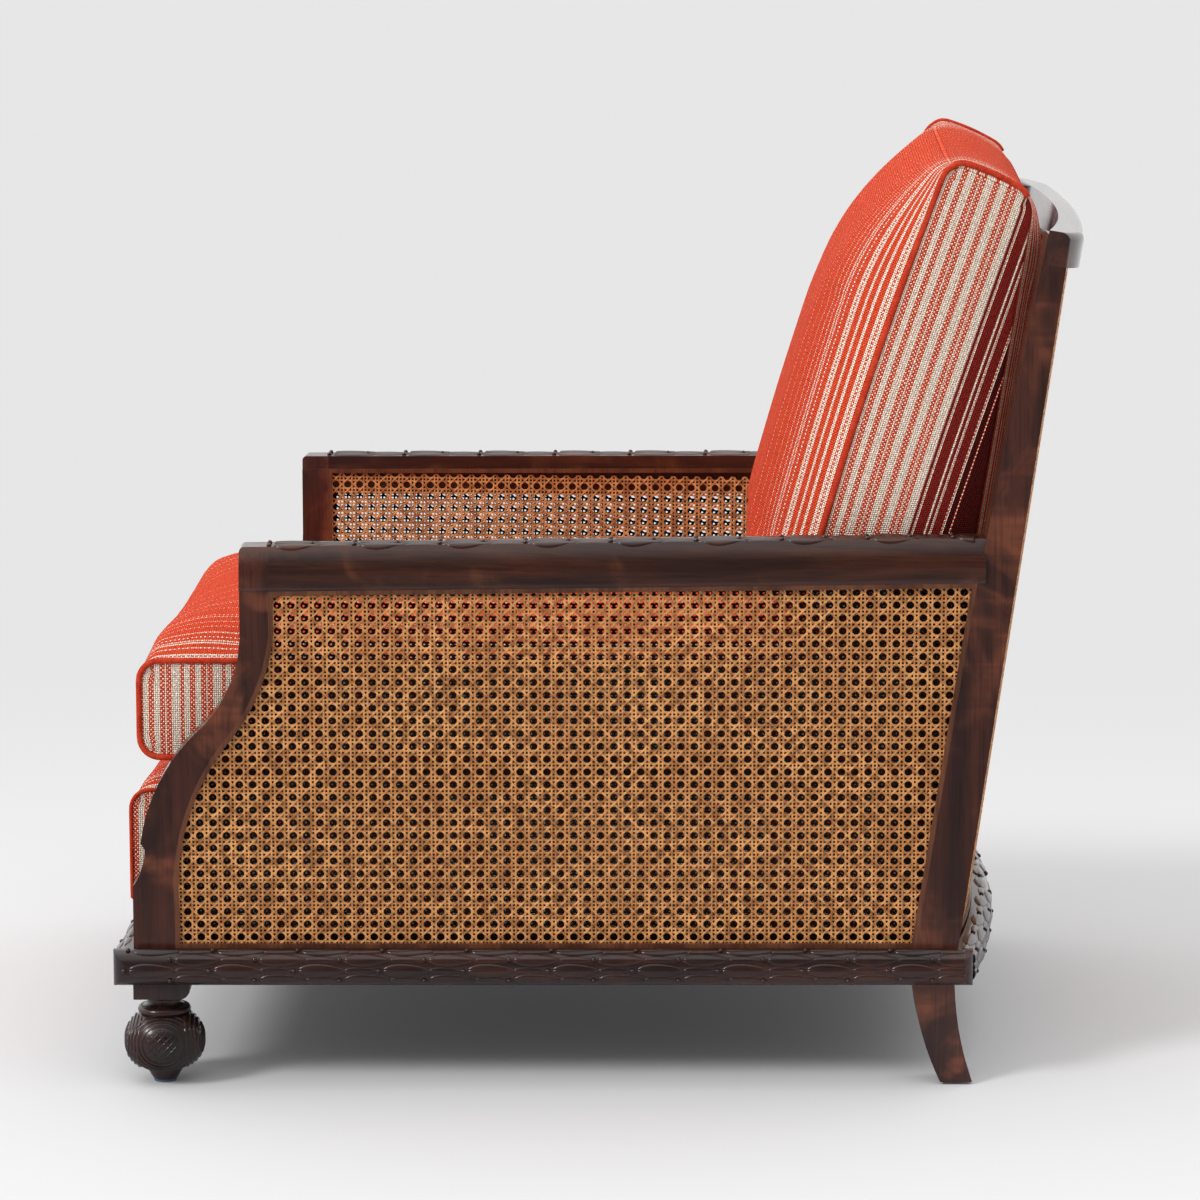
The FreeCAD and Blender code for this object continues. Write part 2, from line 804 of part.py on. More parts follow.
def bowed_board(layer, offset, thickness):
    """A thin board ruled between two bows, past the rail below and the crest above."""
    sections = []
    bottom = (D.rail_bottom + D.rail_height * HALF).number
    top = (D.rear_top_height - D.crest_drop * HALF).number
    for height in (bottom, top):
        face = back_line(layer, height) + offset
        half = inner_half(D.rear_top_along).number
        bow = D.back_cane_bow.number
        arcs = []
        for along in (face, face + thickness):
            arcs.append(Part.Arc(Vector(-half, along, height), Vector(0, along + bow, height),
                                 Vector(half, along, height)).toShape())
        ends = [Part.makeLine(Vector(across, face, height), Vector(across, face + thickness, height))
                for across in (half, -half)]
        sections.append(Part.Wire([arcs[0], ends[0], arcs[1], ends[1]]))
    return Part.makeLoft(sections, True, True)


def back_opening(item):
    frame = list(rear_posts.values()) + [crest, rails["rear"], mouldings["rear"]]
    return in_frame_of(item, frame)


def make_back_cane(layer):
    thickness = D.cane_thickness.number
    offset = -thickness if layer == "outer" else 0

    def make_shape(item):
        return largest(bowed_board(layer, offset, thickness).cut(back_opening(item)))

    return shape_node("back_%s_cane" % layer, make_shape, place_middle)


def crest_underside(behind):
    """Height of the crest rail's raked underside at a distance behind the posts' front."""
    rake = math.radians(D.crest_rake.number)
    return D.rear_top_height.number - D.crest_drop.number / math.cos(rake) - behind * math.tan(rake)


def make_back_bead(layer):
    depth = D.bead_depth.number * HALF
    offset = 0 if layer == "outer" else -depth

    def make_shape(item):
        field = largest(bowed_board(layer, offset, depth).cut(back_opening(item)))
        width = D.bead_width.number
        bottom = (D.rail_bottom + D.rail_height).number + width
        height = D.rear_top_height.number
        from_post = back_line(layer, height) - D.rear_top_along.number
        ends, crown = (crest_underside(from_post + bow) - width for bow in (0, D.back_cane_bow.number))
        clear = D.post_thickness.number * HALF + width
        top_half = inner_half(D.rear_top_along).number - clear
        low_half = inner_half(D.rear_post_along).number - clear
        near = D.rear_post_along.number - D.overrun.number
        corners = [Vector(-top_half, near, ends), Vector(-low_half, near, bottom),
                   Vector(low_half, near, bottom), Vector(top_half, near, ends)]
        lines = Part.makePolygon(corners).Edges
        head = Part.Arc(corners[3], Vector(0, near, crown), corners[0]).toShape()
        face = Part.Face(Part.Wire(lines + [head]))
        window = face.extrude(Vector(0, (D.rear_top_along - D.rear_post_along).number * 2, 0))
        return largest(field.cut(window))

    return shape_node("back_%s_bead" % layer, make_shape, place_middle)


# Upholstery

def rounded_outline(front, back, half_front, half_back, corner, draws, to_space):
    """A four-sided outline with round corners; each side is drawn in, or out by a negative draw."""
    fl, fr = (-half_front, front), (half_front, front)
    br, bl = (half_back, back), (-half_back, back)
    points = [fl, fr, br, bl]
    edges = []
    for index, point in enumerate(points):
        after = points[(index + 1) % 4]
        before = points[index - 1]

        def step(origin, target, distance):
            length = math.hypot(target[0] - origin[0], target[1] - origin[1])
            share = distance / length
            return tuple(a + (b - a) * share for a, b in zip(origin, target))

        enter = step(point, before, corner)
        leave = step(point, after, corner)
        end = step(after, point, corner)
        turn = ((enter[0] + leave[0]) * HALF * CORNER_SHARE + point[0] * (1 - CORNER_SHARE),
                (enter[1] + leave[1]) * HALF * CORNER_SHARE + point[1] * (1 - CORNER_SHARE))
        centre = (sum(p[0] for p in points) / 4, sum(p[1] for p in points) / 4)
        half_way = ((leave[0] + end[0]) * HALF, (leave[1] + end[1]) * HALF)
        drawn = step(half_way, centre, draws[index])
        edges.append(Part.Arc(to_space(*enter), to_space(*turn), to_space(*leave)).toShape())
        edges.append(Part.Arc(to_space(*leave), to_space(*drawn), to_space(*end)).toShape())
    return Part.Wire(edges)


CORNER_SHARE = 0.586
CROWN_RING_SHARES = ((0, 0), (0.12, 0.42), (0.42, 0.8), (1, 1))
DEEP_CROWN_RING_SHARES = ((0, 0), (0.15, 0.28), (0.45, 0.7), (1, 1))


def crown_rings(level, rise, make_ring, shares):
    """A crown as a smooth loft from the welt inwards and up to its flat middle."""
    rings = [make_ring(level + rise * up, inset) for inset, up in shares]
    return Part.makeLoft(rings, True, False)


def box_cushion(low_welt, high_welt, low_rise, high_rise, ring, draw, shares=CROWN_RING_SHARES):
    """A boxed cushion: drawn-in boxing between two welts, with a crown over each."""
    mid = middle(low_welt, high_welt)
    boxing = Part.makeLoft([ring(low_welt, 0), ring(mid, draw), ring(high_welt, 0)], True, False)
    solid = boxing
    for level, rise in ((high_welt, high_rise), (low_welt, low_rise)):
        if rise:
            solid = solid.fuse(crown_rings(level, rise, lambda at, inset: ring(at, inset, True), shares))
    return largest(solid.removeSplitter())


def make_seat_deck():
    """The sprung and stuffed platform that the loose cushion lies on."""
    clear = D.post_thickness.number * HALF + D.soft_clearance.number
    front, back = -D.deck_overhang.number, D.deck_back.number

    def ring(level, inset, crown=False):
        pull = inset * D.deck_crown_inset.number if crown else inset
        near, far = front + pull, back - pull * HALF
        halves = [inner_half(Size(along)).number - clear - pull for along in (near, far)]
        draws = [D.deck_draw.number] * 4
        return rounded_outline(near, far, halves[0], halves[1], D.deck_corner.number, draws,
                               lambda x, y: Vector(x, y, level))

    def make_shape(item):
        bottom = D.rail_bottom.number + D.rail_height.number + D.cushion_gap.number
        welt, crown = D.deck_welt_height.number, D.deck_crown.number
        return box_cushion(bottom, welt, 0, crown, ring, D.deck_draw.number)

    return shape_node("seat_deck", make_shape, place_middle)


def make_seat_cushion():
    clear = D.post_thickness.number * HALF + D.soft_clearance.number * 2
    deck_top = D.deck_welt_height.number + D.deck_crown.number

    def ring(level, inset, crown=False):
        pull = inset * D.seat_crown_inset.number if crown else inset
        rear_pull = inset * D.seat_rear_inset.number if crown else inset
        near, far = D.seat_front.number + pull, D.seat_back.number - rear_pull
        halves = [inner_half(Size(along)).number - clear - pull for along in (near, far)]
        draws = [D.seat_draw.number] * 4
        return rounded_outline(near, far, halves[0], halves[1], D.seat_corner.number, draws,
                               lambda x, y: Vector(x, y, level))

    def make_shape(item):
        low, high = D.seat_bottom_welt.number, D.seat_top_welt.number
        sink = deck_top + D.cushion_gap.number - low
        return box_cushion(low, high, sink, D.seat_crown_height.number - high, ring, D.seat_draw.number)

    return shape_node("seat_cushion", make_shape, place_middle)


def make_back_cushion():
    """The tapered back cushion, thick at its foot, standing on the seat cushion."""
    foot = (D.seat_crown_height + D.cushion_gap + D.back_draw).number
    draws = [-D.back_draw.number] + [D.back_draw.number] * 3
    rear_foot = D.back_front_along.number + D.back_foot_depth.number
    rear_top = D.back_top_along.number + D.back_top_depth.number
    front_low = Vector(0, D.back_front_along.number, foot)
    front_high = Vector(0, D.back_top_along.number, D.back_top_height.number)
    rear_low = Vector(0, rear_foot, foot)
    rear_high = Vector(0, rear_top, D.back_top_height.number - D.back_top_fall.number)

    def ring(level, inset, crown=False):
        share = min(max(level, 0), 1)
        low = rear_low + (front_low - rear_low) * share
        high = rear_high + (front_high - rear_high) * share
        climb = high - low
        length = climb.Length
        climb.normalize()
        outward = Vector(0, -climb.z, climb.y)
        beyond = level - share
        pull = inset * D.back_crown_inset.number if crown else inset
        foot_pull = inset * D.back_draw.number if crown else 0
        lift = beyond * D.back_crown.number
        half = D.back_half_width.number - pull
        return rounded_outline(foot_pull, length - pull, half, half, D.back_corner.number, draws,
                               lambda x, up: low + climb * up + outward * lift + Vector(x, 0, 0))

    def make_shape(item):
        rear_rise = -D.back_rear_crown.number / D.back_crown.number
        return box_cushion(0, 1, rear_rise, 1, ring, D.back_draw.number, DEEP_CROWN_RING_SHARES)

    return shape_node("back_cushion", make_shape, place_middle)


front_posts = {word: make_front_post(side, word) for side, word in SIDES}
rear_posts = {word: make_rear_post(side, word) for side, word in SIDES}
arms = {word: make_arm_rail(side, word, rear_posts[word]) for side, word in SIDES}
side_rails = {word: make_side_rail(side, word) for side, word in SIDES}
rails = {"front": make_front_rail(), "rear": make_rear_rail()}
mouldings = {word: make_side_moulding(side, word) for side, word in SIDES}
mouldings["front"] = make_front_moulding()
mouldings["rear"] = make_rear_moulding()
crest = make_crest_rail()
for side, word in SIDES:
    make_corner_block(side, word, "front")
    make_corner_block(side, word, "rear")
    make_front_foot(side, word)
    make_glide(side, word, "front", D.foot_axis_along)
    make_glide(side, word, "rear", D.rear_post_along + D.sabre_kick + D.sabre_toe_depth * HALF)
make_dust_cover()
document.recompute()

for side, word in SIDES:
    for layer in ("outer", "inner"):
        make_side_cane(side, word, layer)
        make_side_bead(side, word, layer)
for layer in ("outer", "inner"):
    make_back_cane(layer)
    make_back_bead(layer)
make_seat_deck()
make_seat_cushion()
make_back_cushion()
document.recompute()


def check_document():
    """Stop on any object that failed to build."""
    for item in document.Objects:
        if "Invalid" in item.State or "Error" in item.State:
            raise SystemExit("%s (%s) did not build: %s" % (item.Name, item.Label, item.State))
    for item in nodes:
        if item.Shape.isNull() or not item.Shape.isValid():
            raise SystemExit("%s has no valid shape" % item.Label)


check_document()
os.makedirs("parts", exist_ok=True)
for item in nodes:
    item.Shape.exportStep("parts/%s.step" % item.Label)
    print(item.Label, round(item.Shape.Volume), len(item.Shape.Solids))
print(len(nodes), "nodes")
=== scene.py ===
import math

import bmesh
import bpy
from mathutils import Matrix, Vector
from mathutils.bvhtree import BVHTree


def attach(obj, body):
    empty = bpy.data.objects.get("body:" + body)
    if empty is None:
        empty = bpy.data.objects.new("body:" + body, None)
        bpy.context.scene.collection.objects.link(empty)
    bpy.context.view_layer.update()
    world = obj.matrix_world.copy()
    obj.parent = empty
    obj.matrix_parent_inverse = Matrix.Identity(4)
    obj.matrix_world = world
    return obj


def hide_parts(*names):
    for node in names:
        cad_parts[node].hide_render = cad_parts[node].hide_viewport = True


# A planters chair: a dark carved hardwood frame with caned sides and back, on ball feet in front
# and sabre legs behind, with loose striped cushions over a sprung deck. Units are metres.
# A side frame is drawn in its own axes (outward, along from the front post's face, up).

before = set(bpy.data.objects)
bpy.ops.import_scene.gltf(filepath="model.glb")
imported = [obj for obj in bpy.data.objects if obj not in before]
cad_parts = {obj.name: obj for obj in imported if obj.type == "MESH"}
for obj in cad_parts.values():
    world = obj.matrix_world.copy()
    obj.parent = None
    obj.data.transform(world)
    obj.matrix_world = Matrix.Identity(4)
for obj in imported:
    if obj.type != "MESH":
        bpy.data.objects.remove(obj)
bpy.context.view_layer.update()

MM = 0.001
HALF_SPACING = 350 * MM
MIDDLE_ALONG = 492.2 * MM
SPLAY = math.radians(2.1)
POST_HALF = 22 * MM
RAIL_BOTTOM = 111 * MM
RAIL_TOP = 149 * MM
ARM_TOP = 577 * MM

MIDDLE_PLACE = Matrix.Translation((0, -MIDDLE_ALONG, 0))
LEFT_PLACE = Matrix.Translation((HALF_SPACING, -MIDDLE_ALONG, 0)) @ Matrix.Rotation(SPLAY, 4, "Z")
MIRROR_X = Matrix.Scale(-1, 4, (1, 0, 0))

# Rays that look for a CAD node's face start this far out, clear of the chair
RAY_START = 2


def inner_half(along):
    """Half the distance between the side frames' centre planes at a place along them."""
    return HALF_SPACING - math.sin(SPLAY) * along


# Helpers

def link_new(name, data):
    item = bpy.data.objects.new(name, data)
    bpy.context.collection.objects.link(item)
    return item


def mesh_from(name, shape):
    """Writes a shape to a new mesh and frees it."""
    mesh = bpy.data.meshes.new(name)
    shape.to_mesh(mesh)
    shape.free()
    return mesh


def verts_in(made):
    """The vertices among what an operator has made."""
    return [item for item in made["geom"] if isinstance(item, bmesh.types.BMVert)]


def set_smooth(shape):
    for face in shape.faces:
        face.smooth = True


def gather(shapes):
    """One shape from several."""
    whole = bmesh.new()
    for shape in shapes:
        holder = mesh_from("holder", shape)
        whole.from_mesh(holder)
        bpy.data.meshes.remove(holder)
    return whole


def mirrored_copy(shape):
    """The same shape on the other side of the chair's middle."""
    copy = shape.copy()
    bmesh.ops.transform(copy, matrix=MIRROR_X, verts=copy.verts)
    bmesh.ops.reverse_faces(copy, faces=copy.faces)
    return copy


# Camera, lights and stage

CAMERA_PLACE = Vector((5.2306, 0.1799, 1.3566))
CAMERA_TILT = math.radians(9.7)
LENS_MM = 142.3
SENSOR_MM = 36
SUN_PLACE = (2.2, -2.8, 3.0)
SUN_TARGET = (0, 0, 0.4)
SUN_STRENGTH = 1.75
SUN_ANGLE = math.radians(16)
FLOOR_HALF = 80
FLOOR_COLOUR = (0.62, 0.62, 0.62, 1)
FLOOR_SEEN = (0.547, 0.548, 0.552, 1)
# Painted light: the floor the camera sees is painted dimmer far off, so the floor near the chair looks more
# brightly lit
FLOOR_SEEN_FAR_PAINTED_DIM = (0.445, 0.445, 0.445, 1)
# Painted reflection: the floor's colour in the lacquer's reflections, painted dark in front of the chair
# and paler near it
FLOOR_PAINTED_REFLECTION = (0.12, 0.12, 0.125, 1)
FLOOR_PAINTED_REFLECTION_NEAR = (0.36, 0.37, 0.40, 1)
# Painted light: a faint glow from the whole floor lifts its shadows
FLOOR_PAINTED_GLOW = (0.03, 0.029, 0.031, 1)
BACKDROP = (0.807, 0.807, 0.807, 1)

# Each band: the x on the floor where its tone starts, and the x where it is full. The first two lay the
# painted reflection, the last the painted dimming far off
PAINTED_REFLECTION_NEAR_BAND = (1.2, 0.6)
PAINTED_REFLECTION_FAR_BAND = (-0.6, -1.4)
PAINTED_DIM_BAND = (0.7, -2.2)

# The sky's light: where each band starts and ends along its axis, and the light at either end
SKY_BEHIND = (-0.3, 0.45, 0.9, 0.16)
SKY_OVERHEAD = (0.5, 0.95, 0.0, 1.0)
SKY_FRONT = (0.1, -0.9, 0.0, 0.35)
SKY_REAR = (0.2, 0.9, 0.0, 0.4)
BANK_SIDE = (0.15, 0.6)
BANK_HEIGHT = (0.44, 0.68)
BANK_LIGHT = 1.35
BANK_MIRRORED = 0.2
DARK_MIRRORED = (0.2, 0.6, 0.0, 0.12)


def aim(item, place, target):
    item.location = place
    item.rotation_euler = (Vector(target) - Vector(place)).to_track_quat("-Z", "Y").to_euler()


def make_camera():
    data = bpy.data.cameras.new("camera")
    data.lens = LENS_MM
    data.sensor_width = SENSOR_MM
    data.sensor_height = SENSOR_MM
    camera = link_new("camera", data)
    level = Vector((-math.cos(SPLAY), -math.sin(SPLAY), 0)) * math.cos(CAMERA_TILT)
    aim(camera, CAMERA_PLACE, CAMERA_PLACE + level + Vector((0, 0, -math.sin(CAMERA_TILT))))
    bpy.context.scene.camera = camera


def make_floor():
    """A pale floor carrying painted light: the camera sees it painted dimmer far off, the lacquer mirrors
    it painted dark with a paler painted band near the chair, and a faint painted glow lifts its shadows.
    """
    shape = bmesh.new()
    bmesh.ops.create_grid(shape, x_segments=1, y_segments=1, size=FLOOR_HALF)
    floor = link_new("floor", mesh_from("floor", shape))
    material, tree, shader, place = new_material("studio_floor")
    path = tree.nodes.new("ShaderNodeLightPath")
    ahead = add_split(tree, place)[0]
    # Painted reflection: what the lacquer mirrors of the floor is painted dark in front of the chair, paler
    # near it, and the floor's own colour behind it
    painted_reflection = add_mix(tree, add_range(tree, ahead, *PAINTED_REFLECTION_NEAR_BAND), FLOOR_PAINTED_REFLECTION, FLOOR_PAINTED_REFLECTION_NEAR)
    painted_reflection = add_mix(tree, add_range(tree, ahead, *PAINTED_REFLECTION_FAR_BAND), painted_reflection, FLOOR_COLOUR)
    bounced_or_painted_reflection = add_mix(tree, path.outputs["Is Glossy Ray"], FLOOR_COLOUR, painted_reflection)
    # Painted light: the camera sees the floor painted dimmer far off
    seen_with_painted_dim = add_mix(tree, add_range(tree, ahead, *PAINTED_DIM_BAND), FLOOR_SEEN, FLOOR_SEEN_FAR_PAINTED_DIM)
    seen = add_mix(tree, path.outputs["Is Camera Ray"], bounced_or_painted_reflection, seen_with_painted_dim)
    tree.links.new(seen, shader.inputs["Base Color"])
    # The floor glows faintly, painted light that lifts its shadows
    set_inputs(shader, {"Roughness": 1, "Specular IOR Level": 0, "Emission Color": FLOOR_PAINTED_GLOW,
                        "Emission Strength": 1})
    floor.data.materials.append(material)


def make_studio():
    """Soft light from all round: pale behind the chair and overhead, a raised bank on the camera's side."""
    world = bpy.data.worlds.new("studio")
    bpy.context.scene.world = world
    world.use_nodes = True
    tree = world.node_tree
    sky = tree.nodes["Background"]
    path = tree.nodes.new("ShaderNodeLightPath")
    glossy = path.outputs["Is Glossy Ray"]
    x, y, z = add_split(tree, tree.nodes.new("ShaderNodeTexCoord").outputs["Generated"])
    light = add_range(tree, x, *SKY_BEHIND)
    bank = add_math(tree, "MULTIPLY", add_range(tree, x, *BANK_SIDE), add_range(tree, z, *BANK_HEIGHT))
    bank = add_math(tree, "MULTIPLY", bank, add_range(tree, glossy, 0, 1, BANK_LIGHT, BANK_MIRRORED))
    for part in (add_range(tree, z, *SKY_OVERHEAD), add_range(tree, y, *SKY_FRONT),
                 add_range(tree, y, *SKY_REAR), bank):
        light = add_math(tree, "ADD", light, part)
    dark = add_math(tree, "MULTIPLY", glossy, add_range(tree, x, *DARK_MIRRORED))
    light = add_math(tree, "SUBTRACT", light, dark)
    seen = add_mix(tree, path.outputs["Is Camera Ray"], add_grey(tree, light), BACKDROP)
    tree.links.new(seen, sky.inputs["Color"])
    sky.inputs["Strength"].default_value = 1

    data = bpy.data.lights.new("key", "SUN")
    data.energy = SUN_STRENGTH
    data.angle = SUN_ANGLE
    aim(link_new("key", data), SUN_PLACE, SUN_TARGET)


bpy.context.scene.view_settings.view_transform = "Standard"


# Materials

def new_group(name, inputs, outputs):
    """An empty shader node group; sockets are (name, type, default)."""
    group = bpy.data.node_groups.new(name, "ShaderNodeTree")
    for label, kind, value in inputs:
        socket = group.interface.new_socket(label, in_out="INPUT", socket_type="NodeSocket" + kind)
        if value is not None:
            socket.default_value = value
    for label, kind in outputs:
        group.interface.new_socket(label, in_out="OUTPUT", socket_type="NodeSocket" + kind)
    return group, group.nodes.new("NodeGroupInput"), group.nodes.new("NodeGroupOutput")


def set_inputs(item, values):
    for label, value in values.items():
        item.inputs[label].default_value = value


def add_noise(tree, vector, scale, detail=3, roughness=0.5, distortion=0):
    item = tree.nodes.new("ShaderNodeTexNoise")
    set_inputs(item, {"Scale": scale, "Detail": detail, "Roughness": roughness, "Distortion": distortion})
    tree.links.new(vector, item.inputs["Vector"])
    return item.outputs["Fac"]


def add_math(tree, operation, first, second=None, clamp=False):
    item = tree.nodes.new("ShaderNodeMath")
    item.operation = operation
    item.use_clamp = clamp
    for socket, value in zip(item.inputs, (first, second)):
        if value is None:
            continue
        if isinstance(value, (int, float)):
            socket.default_value = value
        else:
            tree.links.new(value, socket)
    return item.outputs[0]


def add_range(tree, value, low, high, to_low=0.0, to_high=1.0):
    item = tree.nodes.new("ShaderNodeMapRange")
    item.interpolation_type = "SMOOTHSTEP"
    set_inputs(item, {"From Min": low, "From Max": high, "To Min": to_low, "To Max": to_high})
    tree.links.new(value, item.inputs["Value"])
    return item.outputs["Result"]


def add_mix(tree, share, first, second, blend="MIX"):
    item = tree.nodes.new("ShaderNodeMix")
    item.data_type = "RGBA"
    item.blend_type = blend
    sockets = (item.inputs[0], item.inputs[6], item.inputs[7])
    for socket, value in zip(sockets, (share, first, second)):
        if isinstance(value, (int, float, tuple)):
            socket.default_value = value
        else:
            tree.links.new(value, socket)
    return item.outputs[2]


def add_bump(tree, height, strength, distance):
    item = tree.nodes.new("ShaderNodeBump")
    set_inputs(item, {"Strength": strength, "Distance": distance})
    tree.links.new(height, item.inputs["Height"])
    return item.outputs["Normal"]


def add_mapping(tree, vector, scale=(1, 1, 1), turn=(0, 0, 0)):
    item = tree.nodes.new("ShaderNodeMapping")
    set_inputs(item, {"Scale": scale, "Rotation": turn})
    tree.links.new(vector, item.inputs["Vector"])
    return item.outputs[0]


def add_split(tree, vector):
    """The x, y and z of a vector."""
    item = tree.nodes.new("ShaderNodeSeparateXYZ")
    tree.links.new(vector, item.inputs[0])
    return item.outputs


def add_grey(tree, value):
    item = tree.nodes.new("ShaderNodeCombineColor")
    for socket in item.inputs:
        tree.links.new(value, socket)
    return item.outputs[0]


def add_shade(tree, colour, value):
    """A colour darkened, or above 1 lightened, by a value."""
    return add_mix(tree, 1.0, colour, add_grey(tree, value), "MULTIPLY")


def add_group(tree, group, vector):
    item = tree.nodes.new("ShaderNodeGroup")
    item.node_tree = group
    tree.links.new(vector, item.inputs["Vector"])
    return item


def new_material(name):
    material = bpy.data.materials.new(name)
    material.use_nodes = True
    tree = material.node_tree
    place = tree.nodes.new("ShaderNodeTexCoord").outputs["Object"]
    return material, tree, tree.nodes["Principled BSDF"], place


def connect(tree, shader, colour, roughness, normal):
    for label, output in (("Base Color", colour), ("Roughness", roughness), ("Normal", normal)):
        tree.links.new(output, shader.inputs[label])


# The grain's noises are stretched along Z, and its ripple across it
STREAK_SCALE = (34, 34, 2.6)
PORE_SCALE = (420, 420, 16)
RIPPLE_SCALE = (8, 8, 60)
PATCH_SCALE = 9


def make_grain_group():
    """Stained hardwood: long streaks along Z, soft cross figure and fine pores."""
    group, given, result = new_group("wood_grain", [
        ("Vector", "Vector", None),
        ("Dark", "Color", (0.02, 0.006, 0.004, 1)),
        ("Mid", "Color", (0.06, 0.016, 0.009, 1)),
        ("Warm", "Color", (0.16, 0.045, 0.02, 1)),
        ("Figure", "Float", 0.5),
    ], [("Color", "Color"), ("Roughness", "Float"), ("Height", "Float")])
    vector, dark, mid, warm, figure = given.outputs[:5]
    streak = add_noise(group, add_mapping(group, vector, STREAK_SCALE), 1, 5, 0.6, 0.4)
    pores = add_noise(group, add_mapping(group, vector, PORE_SCALE), 1, 2, 0.5)
    ripple = add_noise(group, add_mapping(group, vector, RIPPLE_SCALE), 1, 2, 0.5, 0.6)
    patch = add_noise(group, vector, PATCH_SCALE, 3, 0.55, 1.2)
    warm_share = add_math(group, "MULTIPLY", add_range(group, patch, 0.5, 0.72), figure)
    warm_share = add_math(group, "MULTIPLY", warm_share, add_range(group, ripple, 0.3, 0.62, 0.35, 1.0))
    ground = add_mix(group, add_range(group, streak, 0.36, 0.66), dark, mid)
    colour = add_mix(group, warm_share, ground, warm)
    colour = add_shade(group, colour, add_range(group, pores, 0.32, 0.5, 0.72, 1.0))
    group.links.new(colour, result.inputs["Color"])
    group.links.new(add_range(group, streak, 0.3, 0.7, 0.36, 0.27), result.inputs["Roughness"])
    group.links.new(pores, result.inputs["Height"])
    return group


GRAIN = make_grain_group()


def wood_material(name, turn, figure=0.5, dark=None, mid=None, warm=None, coat=0.35, bump=0.12, gloss=0.16):
    """Lacquered hardwood; turn lays the grain, drawn along Z, along the piece."""
    material, tree, shader, place = new_material(name)
    grain = add_group(tree, GRAIN, add_mapping(tree, place, turn=turn))
    grain.inputs["Figure"].default_value = figure
    for label, colour in (("Dark", dark), ("Mid", mid), ("Warm", warm)):
        if colour:
            grain.inputs[label].default_value = colour + (1,)
    connect(tree, shader, grain.outputs["Color"], grain.outputs["Roughness"],
            add_bump(tree, grain.outputs["Height"], bump, 0.6 * MM))
    set_inputs(shader, {"Coat Weight": coat, "Coat Roughness": gloss, "IOR": 1.45,
                        "Specular IOR Level": 0.4})
    return material


ALONG_Z = (0, 0, 0)
ALONG_Y = (math.radians(90), 0, 0)
ALONG_X = (0, math.radians(90), 0)

CARVED_TONES = {"dark": (0.014, 0.006, 0.005), "mid": (0.038, 0.013, 0.009)}

WOOD_UPRIGHT = wood_material("mahogany_posts", ALONG_Z, 0.85, dark=(0.021, 0.0065, 0.0045),
                             mid=(0.056, 0.015, 0.0092), warm=(0.17, 0.047, 0.021))
WOOD_ARM = wood_material("mahogany_arms", ALONG_Y, 0.6, mid=(0.065, 0.018, 0.008),
                         warm=(0.13, 0.042, 0.015))
WOOD_CREST = wood_material("mahogany_crest", ALONG_X, 0.2, coat=0.85, gloss=0.09)
WOOD_CARVED = wood_material("mahogany_carved_sides", ALONG_Y, 0.15, bump=0.2, **CARVED_TONES)
WOOD_CARVED_ACROSS = wood_material("mahogany_carved_across", ALONG_X, 0.15, bump=0.2, **CARVED_TONES)
WOOD_FOOT = wood_material("mahogany_feet", ALONG_Z, 0.1, dark=(0.012, 0.006, 0.005),
                          mid=(0.03, 0.011, 0.008), bump=0.2)
WOOD_BEAD = wood_material("mahogany_bead", ALONG_Z, 0.3, dark=(0.07, 0.022, 0.01), mid=(0.13, 0.045, 0.02),
                          warm=(0.2, 0.075, 0.035), coat=0.2)
WOOD_RAW = wood_material("raw_blocks", ALONG_X, 0.1, dark=(0.24, 0.14, 0.07), mid=(0.4, 0.26, 0.14),
                         warm=(0.45, 0.3, 0.17), coat=0.0)

CANE_DARK = (0.27, 0.105, 0.032, 1)
CANE_PALE = (0.67, 0.325, 0.12, 1)
CANE_TOASTED = (0.38, 0.15, 0.047, 1)
# Painted shade for the space between the two cane sheets
CANE_PAINTED_SHADE = (0.022, 0.010, 0.006, 1)


def cane_material(name, shaded_side):
    """Satin rattan with fine fibre; the side towards the space between two sheets is painted dark, as
    painted shade for that space.

    The last argument is 1 where that side faces away from the chair's middle, -1 where it faces it, and 0
    for no painted shade."""
    material, tree, shader, place = new_material(name)
    tone = add_noise(tree, place, 120, 2, 0.5)
    slow = add_noise(tree, place, 14, 2, 0.5)
    colour = add_mix(tree, add_range(tree, tone, 0.32, 0.68), CANE_DARK, CANE_PALE)
    colour = add_mix(tree, add_range(tree, slow, 0.35, 0.65, 0, 0.45), colour, CANE_TOASTED)
    facing = tree.nodes.new("ShaderNodeVectorMath")
    facing.operation = "MULTIPLY"
    tree.links.new(place, facing.inputs[0])
    tree.links.new(tree.nodes.new("ShaderNodeNewGeometry").outputs["Normal"], facing.inputs[1])
    away = add_math(tree, "MULTIPLY", add_split(tree, facing.outputs[0])[0], shaded_side)
    # Painted shade: faces towards the space between the sheets are painted near black
    colour = add_mix(tree, add_range(tree, away, 0.03, 0.16), colour, CANE_PAINTED_SHADE)
    connect(tree, shader, colour, add_range(tree, tone, 0.3, 0.7, 0.5, 0.34),
            add_bump(tree, tone, 0.3, 0.4 * MM))
    set_inputs(shader, {"IOR": 1.45, "Specular IOR Level": 0.35})
    return material


# The inner and outer side sheets carry painted shade on the faces between them; the back's sheets carry
# none
CANE = cane_material("rattan_cane", 0)
CANE_INNER = cane_material("rattan_cane_inside", 1)
CANE_OUTER = cane_material("rattan_cane_outside", -1)


def plain_material(name, colour, low, high, scale):
    """Moulded plastic or lining cloth: one colour with a fine mottle; low and high are its roughness."""
    material, tree, shader, place = new_material(name)
    tone = add_noise(tree, place, scale, 3, 0.6)
    darker = tuple(part * 0.8 for part in colour)
    connect(tree, shader, add_mix(tree, tone, darker + (1,), colour + (1,)),
            add_range(tree, tone, 0.3, 0.7, low, high), add_bump(tree, tone, 0.2, 0.3 * MM))
    return material


